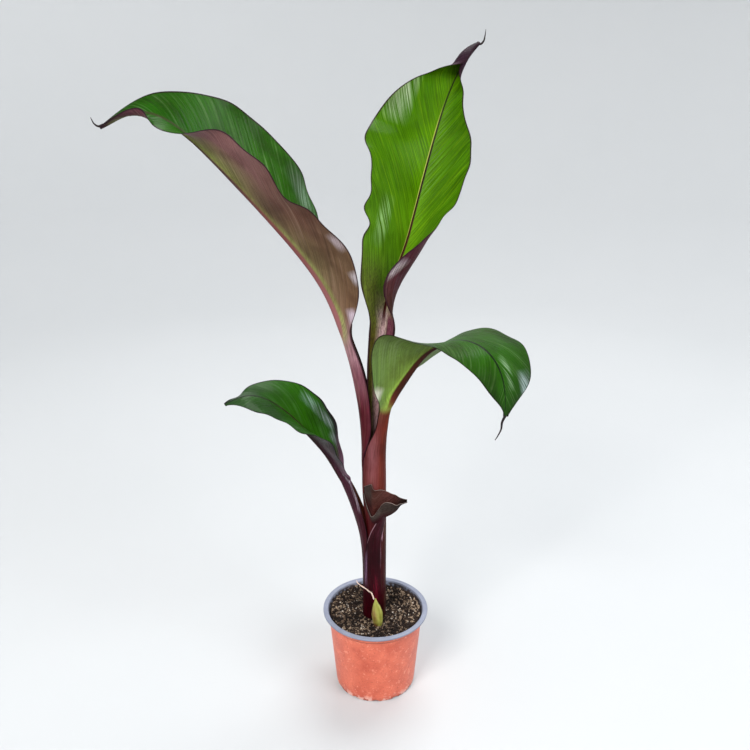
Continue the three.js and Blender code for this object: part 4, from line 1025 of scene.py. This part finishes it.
def soil_finish(name, colours, scale=SOIL_SKIN["scale"]):
    f = Finish(name, Specular_IOR_Level=0.2, Roughness=0.95)
    skin, place = SOIL_SKIN, f.place()
    grain = f.noise(place, scale, *skin["grain"])
    colour = f.mix(f.range(grain, *skin["range"]), *map(tone, colours))
    damp = f.range(f.noise(place, skin["damp_scale"]), *skin["damp_range"], 0.0, skin["damp_share"])
    f.shade(Base_Color=f.darken(damp, colour, tone(skin["damp"])))
    f.bump(grain, *skin["bump"])
    return f.material


def bud_finish():
    f = Finish("bud_finish", Specular_IOR_Level=0.4, Roughness=0.4)
    skin, turn, height = BUD_SKIN, f.value("turn"), f.value("height")
    streak = f.pattern(turn, height, *skin["streak"])
    green = f.mix(f.range(streak, *skin["streak_range"]), *map(tone, skin["green"]))
    blotch = f.range(f.pattern(turn, height, *skin["blotch"]), *skin["blotch_range"])
    red = f.times(f.near(turn, *skin["red_side"]), f.range(height, *skin["red_height"]), blotch,
                  skin["red_share"])
    f.shade(Base_Color=f.mix(red, green, tone(skin["red"])))
    f.bump(streak, *skin["bump"])
    return f.material


def dry_finish(name, colours, scale):
    f = Finish(name, Specular_IOR_Level=0.25, Roughness=0.7)
    grain = f.noise(f.place(), scale, DRY_SKIN["detail"])
    f.shade(Base_Color=f.mix(f.range(grain, *DRY_SKIN["range"]), *map(tone, colours)))
    f.bump(grain, *DRY_SKIN["bump"])
    return f.material


def fillet(profile, steps=5, most=0.45):
    """A profile of (radius, height, rounding) corners as rounded points. "most" is a side's share to use."""
    corners = np.array([c[:2] for c in profile], float)
    points = [corners[0]]
    for k in range(1, len(profile) - 1):
        before, here, after = corners[k - 1], corners[k], corners[k + 1]
        rounding = profile[k][2]
        to_before, to_after = before - here, after - here
        reach = min(rounding, most * np.linalg.norm(to_before), most * np.linalg.norm(to_after))
        a, b = here + unit(to_before) * reach, here + unit(to_after) * reach
        for t in np.linspace(0, 1, steps if rounding else 1):
            points.append((1 - t) ** 2 * a + 2 * t * (1 - t) * here + t**2 * b if rounding else here)
    points.append(corners[-1])
    return np.array(points)


def pot_profile():
    """The pot's outline from the middle of its underside over the rim to the middle of its floor."""
    p = POT
    ledge, under = p["height"] - p["ledge_drop"], p["height"] - p["rim_thickness"]
    edge, corner = p["rim_round"], p["corner_round"]
    profile = fillet([
        (0, 0, 0), (p["foot_radius"], 0, p["foot_round"]), (p["ledge_under"], ledge, corner),
        (p["ledge_over"], ledge + p["ledge_round"], corner), (p["top_radius"], under, corner),
        (p["rim_radius"], under, edge), (p["rim_radius"], p["height"], edge),
        (p["rim_inner"], p["height"], edge),
        (p["top_radius"] - p["wall"], under - p["inner_drop"], p["inner_round"]),
        (p["inner_foot"], p["floor"], p["floor_round"]), (0, p["floor"], 0),
    ])
    rows = [np.linspace(a, b, 1 + math.ceil(np.linalg.norm(b - a) / p["row_step"]))[1:]
            for a, b in zip(profile[:-1], profile[1:])]
    return np.concatenate([profile[:1], *rows])


def pot_piece():
    """The pot as a closed body, with notches round its foot. Its skin's "rim" value is 1 on the grey rim."""
    p = POT
    inner = pot_profile()[1:-1]
    angle = circle(p["sides"])
    radius, height = np.broadcast_arrays(inner[:, None, 0], inner[:, None, 1] + 0 * angle)
    inside = np.arange(len(inner))[:, None] > len(inner) / 2
    step = 2 * np.pi / p["notches"]
    off = np.abs((angle + step / 2) % step - step / 2) * p["foot_radius"]
    lift = p["notch_height"] * smoothstep(off, p["notch_half"], p["notch_half"] - p["notch_slope"])
    at_foot = (height < p["notch_fade"]) & ~inside & (radius > p["foot_radius"] - p["foot_band"])
    height = height + np.where(at_foot, lift * (1 - height / p["notch_fade"]), 0)
    grid = round_middle(radius, angle, height)
    points = np.concatenate([grid.reshape(-1, 3), [[0, 0, 0], [0, 0, p["floor"]]]])
    rows, sides = height.shape
    faces = [*grid_faces(rows, sides, closed=True)]
    bottom, top = rows * sides, rows * sides + 1
    last = (rows - 1) * sides
    for k in range(sides):
        follow = (k + 1) % sides
        faces += [(bottom, follow, k), (top, last + k, last + follow)]
    below, within = p["rim_reach"]
    flat = (height > p["height"] - p["rim_thickness"] - below) & (radius > p["rim_inner"] - within)
    on_rim = flat | inside & (height > SOIL["level"] - p["dirt_depth"])
    rim = np.concatenate([on_rim.ravel(), [0, 0]])
    piece = mesh_piece("nursery_pot", points, faces, pot_finish(), {"rim": rim})
    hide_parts("pot")


def soil_height(radius, angle):
    """The soil's surface: nearly flat round the stem, uneven towards the wall, and crumbly all over."""
    away = smoothstep(radius, SOIL["stem_seat"], SOIL["radius"])
    wave = sum(share * np.sin(count * angle + shift) for share, count, shift in SOIL["waves"])
    flat = round_middle(radius, angle, 0)[..., :2]
    crumbs = SOIL["crumb_height"] * waves(flat, SOIL["crumb_lengths"], SOIL["seed"])
    bank = away * (SOIL["bank"] + SOIL["relief"] * (wave - SOIL["wave_drop"]))
    return SOIL["level"] - SOIL["sunk"] + bank + crumbs


def soil_piece():
    over = np.linspace(SOIL["hole"], SOIL["radius"], SOIL["rings"])
    radii = np.concatenate([over, SOIL["under_radii"]])[:, None]
    angle = circle(SOIL["sides"])
    height = soil_height(radii, angle)
    height[-2:] = [[SOIL["bottom"] + SOIL["under_step"]], [SOIL["bottom"]]]
    rows, sides = height.shape
    first = np.arange(sides)
    faces = [*grid_faces(rows, sides, closed=True)[:, ::-1], first, ((rows - 1) * sides + first)[::-1]]
    finish = soil_finish("soil_finish", SOIL["colours"])
    piece = mesh_piece("potting_mix", round_middle(radii, angle, height), faces, finish)
    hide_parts("soil")


# A grain is a regular body of 20 faces, made ragged
GOLDEN = (1 + math.sqrt(5)) / 2
GRAIN_POINTS = unit(np.array([
    (-1, GOLDEN, 0), (1, GOLDEN, 0), (-1, -GOLDEN, 0), (1, -GOLDEN, 0), (0, -1, GOLDEN), (0, 1, GOLDEN),
    (0, -1, -GOLDEN), (0, 1, -GOLDEN), (GOLDEN, 0, -1), (GOLDEN, 0, 1), (-GOLDEN, 0, -1), (-GOLDEN, 0, 1),
]))
GRAIN_FACES = np.array([
    (0, 11, 5), (0, 5, 1), (0, 1, 7), (0, 7, 10), (0, 10, 11), (1, 5, 9), (5, 11, 4), (11, 10, 2),
    (10, 7, 6), (7, 1, 8), (3, 9, 4), (3, 4, 2), (3, 2, 6), (3, 6, 8), (3, 8, 9), (4, 9, 5), (2, 4, 11),
    (6, 2, 10), (8, 6, 7), (9, 8, 1),
])


def turned(x, y, angle):
    return x * np.cos(angle) - y * np.sin(angle), x * np.sin(angle) + y * np.cos(angle)


def grains_piece(name, count, sizes, stretch, seed, finish, colours, scale=SOIL_SKIN["scale"]):
    """Many small irregular grains, or fibres where stretched, lying on the soil as one mesh."""
    draw = np.random.default_rng(seed)
    reach = SOIL["radius"] - GRAIN["off_wall"]
    radius = reach * np.sqrt(draw.uniform(GRAIN["middle"], 1, count))
    angle = draw.uniform(0, 2 * np.pi, count)
    size = draw.uniform(*sizes, count) * draw.uniform(*GRAIN["shrink"], count)
    shape = size[:, None] * np.stack([draw.uniform(*stretch, count), draw.uniform(*GRAIN["width"], count),
                                      draw.uniform(*GRAIN["thickness"], count)], 1)
    spin = draw.uniform(0, 2 * np.pi, (count, 1))
    tip = draw.normal(0, GRAIN["tip"], (count, 1))
    corners = len(GRAIN_POINTS)
    local = GRAIN_POINTS[None] * shape[:, None] * draw.uniform(*GRAIN["ragged"], (count, corners, 1))
    x, z = turned(local[..., 0], local[..., 2], tip)
    x, y = turned(x, local[..., 1], spin)
    lying = soil_height(radius, angle) + shape[:, 2] * GRAIN["raised"]
    centre = round_middle(radius, angle, lying)
    points = (np.stack([x, y, z], -1) + centre[:, None]).reshape(-1, 3)
    over = np.linalg.norm(points[:, :2], axis=1) / (SOIL["radius"] + GRAIN["over_wall"])
    points[:, :2] /= np.maximum(over, 1)[:, None]
    faces = (GRAIN_FACES[None] + corners * np.arange(count)[:, None, None]).reshape(-1, 3)
    mesh_piece(name, points, faces, soil_finish(finish, colours, scale), smooth=False)


def bud_piece():
    grid, faces = tube(BUD["line"], BUD["radius"], BUD["rows"], BUD["sides"])
    turn = np.broadcast_to(np.arange(BUD["sides"]) / BUD["sides"], grid.shape[:2])
    height = np.broadcast_to(np.linspace(0, BUD["height"], BUD["rows"] + 1)[:, None], grid.shape[:2])
    centre = grid.mean(1, keepdims=True)
    bract = (2 * turn + height / BUD["bract_rise"]) % 1
    swell = 1 + BUD["bract_depth"] * (bract - 0.5) * smoothstep(height, 0, BUD["bract_fade"])
    grid = centre + (grid - centre) * swell[..., None]
    values = {"turn": turn, "height": height}
    piece = mesh_piece("offshoot_shoot", grid, faces, bud_finish(), values)
    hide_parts("offshoot_bud")


def root_piece():
    grid, faces = tube(DRY_ROOT["line"], DRY_ROOT["radius"], DRY_ROOT["rows"], DRY_ROOT["sides"])
    grid = grid + DRY_ROOT["wave"] * waves(grid, DRY_ROOT["wave_lengths"], DRY_ROOT["seed"])[..., None]
    finish = dry_finish("dry_root_finish", DRY_ROOT["colours"], DRY_ROOT["scale"])
    piece = mesh_piece("dry_root_thread", grid, faces, finish)
    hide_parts("dry_root")


def heart_piece(finish):
    """The stem's inner sheaths, seen only where the outer ones open."""
    grid, faces = tube([HEART["foot"], HEART["head"]], HEART["radius"], HEART["rows"], HEART["sides"])
    none = np.zeros(grid.shape[:2])
    across = none + np.arange(HEART["sides"]) * HEART["side_step"]
    along = none + np.linspace(0, HEART["length"], HEART["rows"] + 1)[:, None]
    values = {"along": along, "across": across, "vein": across, "edge": none, "blade": none,
              "inset": none + HEART["inset"], "place": none + HEART["place"], "under": none + 1}
    mesh_piece("stem_heart", grid, faces, finish, values)


def plant():
    made = {leaf["name"]: leaf_piece(**leaf) for leaf in LEAVES}
    heart_piece(made["right_leaf"].data.materials[0])
    dark = dry_finish("leaf_thread_finish", THREAD["colours"], THREAD["scale"])
    for name, (line, radius) in THREADS.items():
        grid, faces = tube(line, radius, THREAD["rows"], THREAD["sides"])
        mesh_piece(name, grid, faces, dark)


def light(name, place, target, size, watts, colour):
    data = bpy.data.lights.new(name, "AREA")
    data.shape = "RECTANGLE"
    data.size, data.size_y = size
    data.energy = watts
    data.color = colour
    lamp = scene_object(name, data)
    lamp.location = place
    away = lamp.location - type(lamp.location)(target)
    lamp.rotation_mode = "QUATERNION"
    lamp.rotation_quaternion = away.to_track_quat("Z", "Y")


def paper_finish():
    f = Finish("floor_finish", Roughness=0.9, Specular_IOR_Level=0.1)
    place = f.place()
    low = f.mix(f.noise(place, STUDIO["grain"]), *STUDIO["low"])
    f.shade(Base_Color=f.mix(f.range(f.height(place), *STUDIO["fade"]), low, STUDIO["high"]))
    return f.material


def studio():
    """A plain pale floor that bends up into a wall all round, under soft lights and an open sky."""
    s = STUDIO
    turn = np.linspace(0, np.pi / 2, s["bend_rows"])
    radii = np.concatenate([s["inner"], s["floor"] + s["bend"] * np.sin(turn), [s["floor"] + s["bend"]]])
    heights = np.concatenate([[0, 0], s["bend"] * (1 - np.cos(turn)), [s["top"]]])
    grid = round_middle(radii[:, None], circle(s["sides"]), heights[:, None])
    faces = [*grid_faces(len(radii), s["sides"], closed=True)[:, ::-1], range(s["sides"])]
    mesh_object("floor", grid, faces, paper_finish())
    world = bpy.data.worlds.new("surround")
    world.use_nodes = True
    background = world.node_tree.nodes["Background"]
    background.inputs["Color"].default_value = s["sky"]
    background.inputs["Strength"].default_value = s["sky_strength"]
    bpy.context.scene.world = world
    for lamp in LIGHTS:
        light(**lamp)
    bpy.context.scene.view_settings.view_transform = "Standard"


def camera():
    data = bpy.data.cameras.new("camera")
    data.sensor_width = CAMERA["sensor"]
    data.lens = CAMERA["sensor"] * CAMERA["focal_pixels"] / CAMERA["image_pixels"]
    eye = scene_object("camera", data)
    eye.location = [METRES * v for v in CAMERA["place"]]
    eye.rotation_euler = (math.radians(90 - CAMERA["down"]), 0, 0)
    bpy.context.scene.camera = eye


camera()
studio()
pot_piece()
soil_piece()
for grains in GRAINS:
    grains_piece(**grains)
bud_piece()
root_piece()
plant()
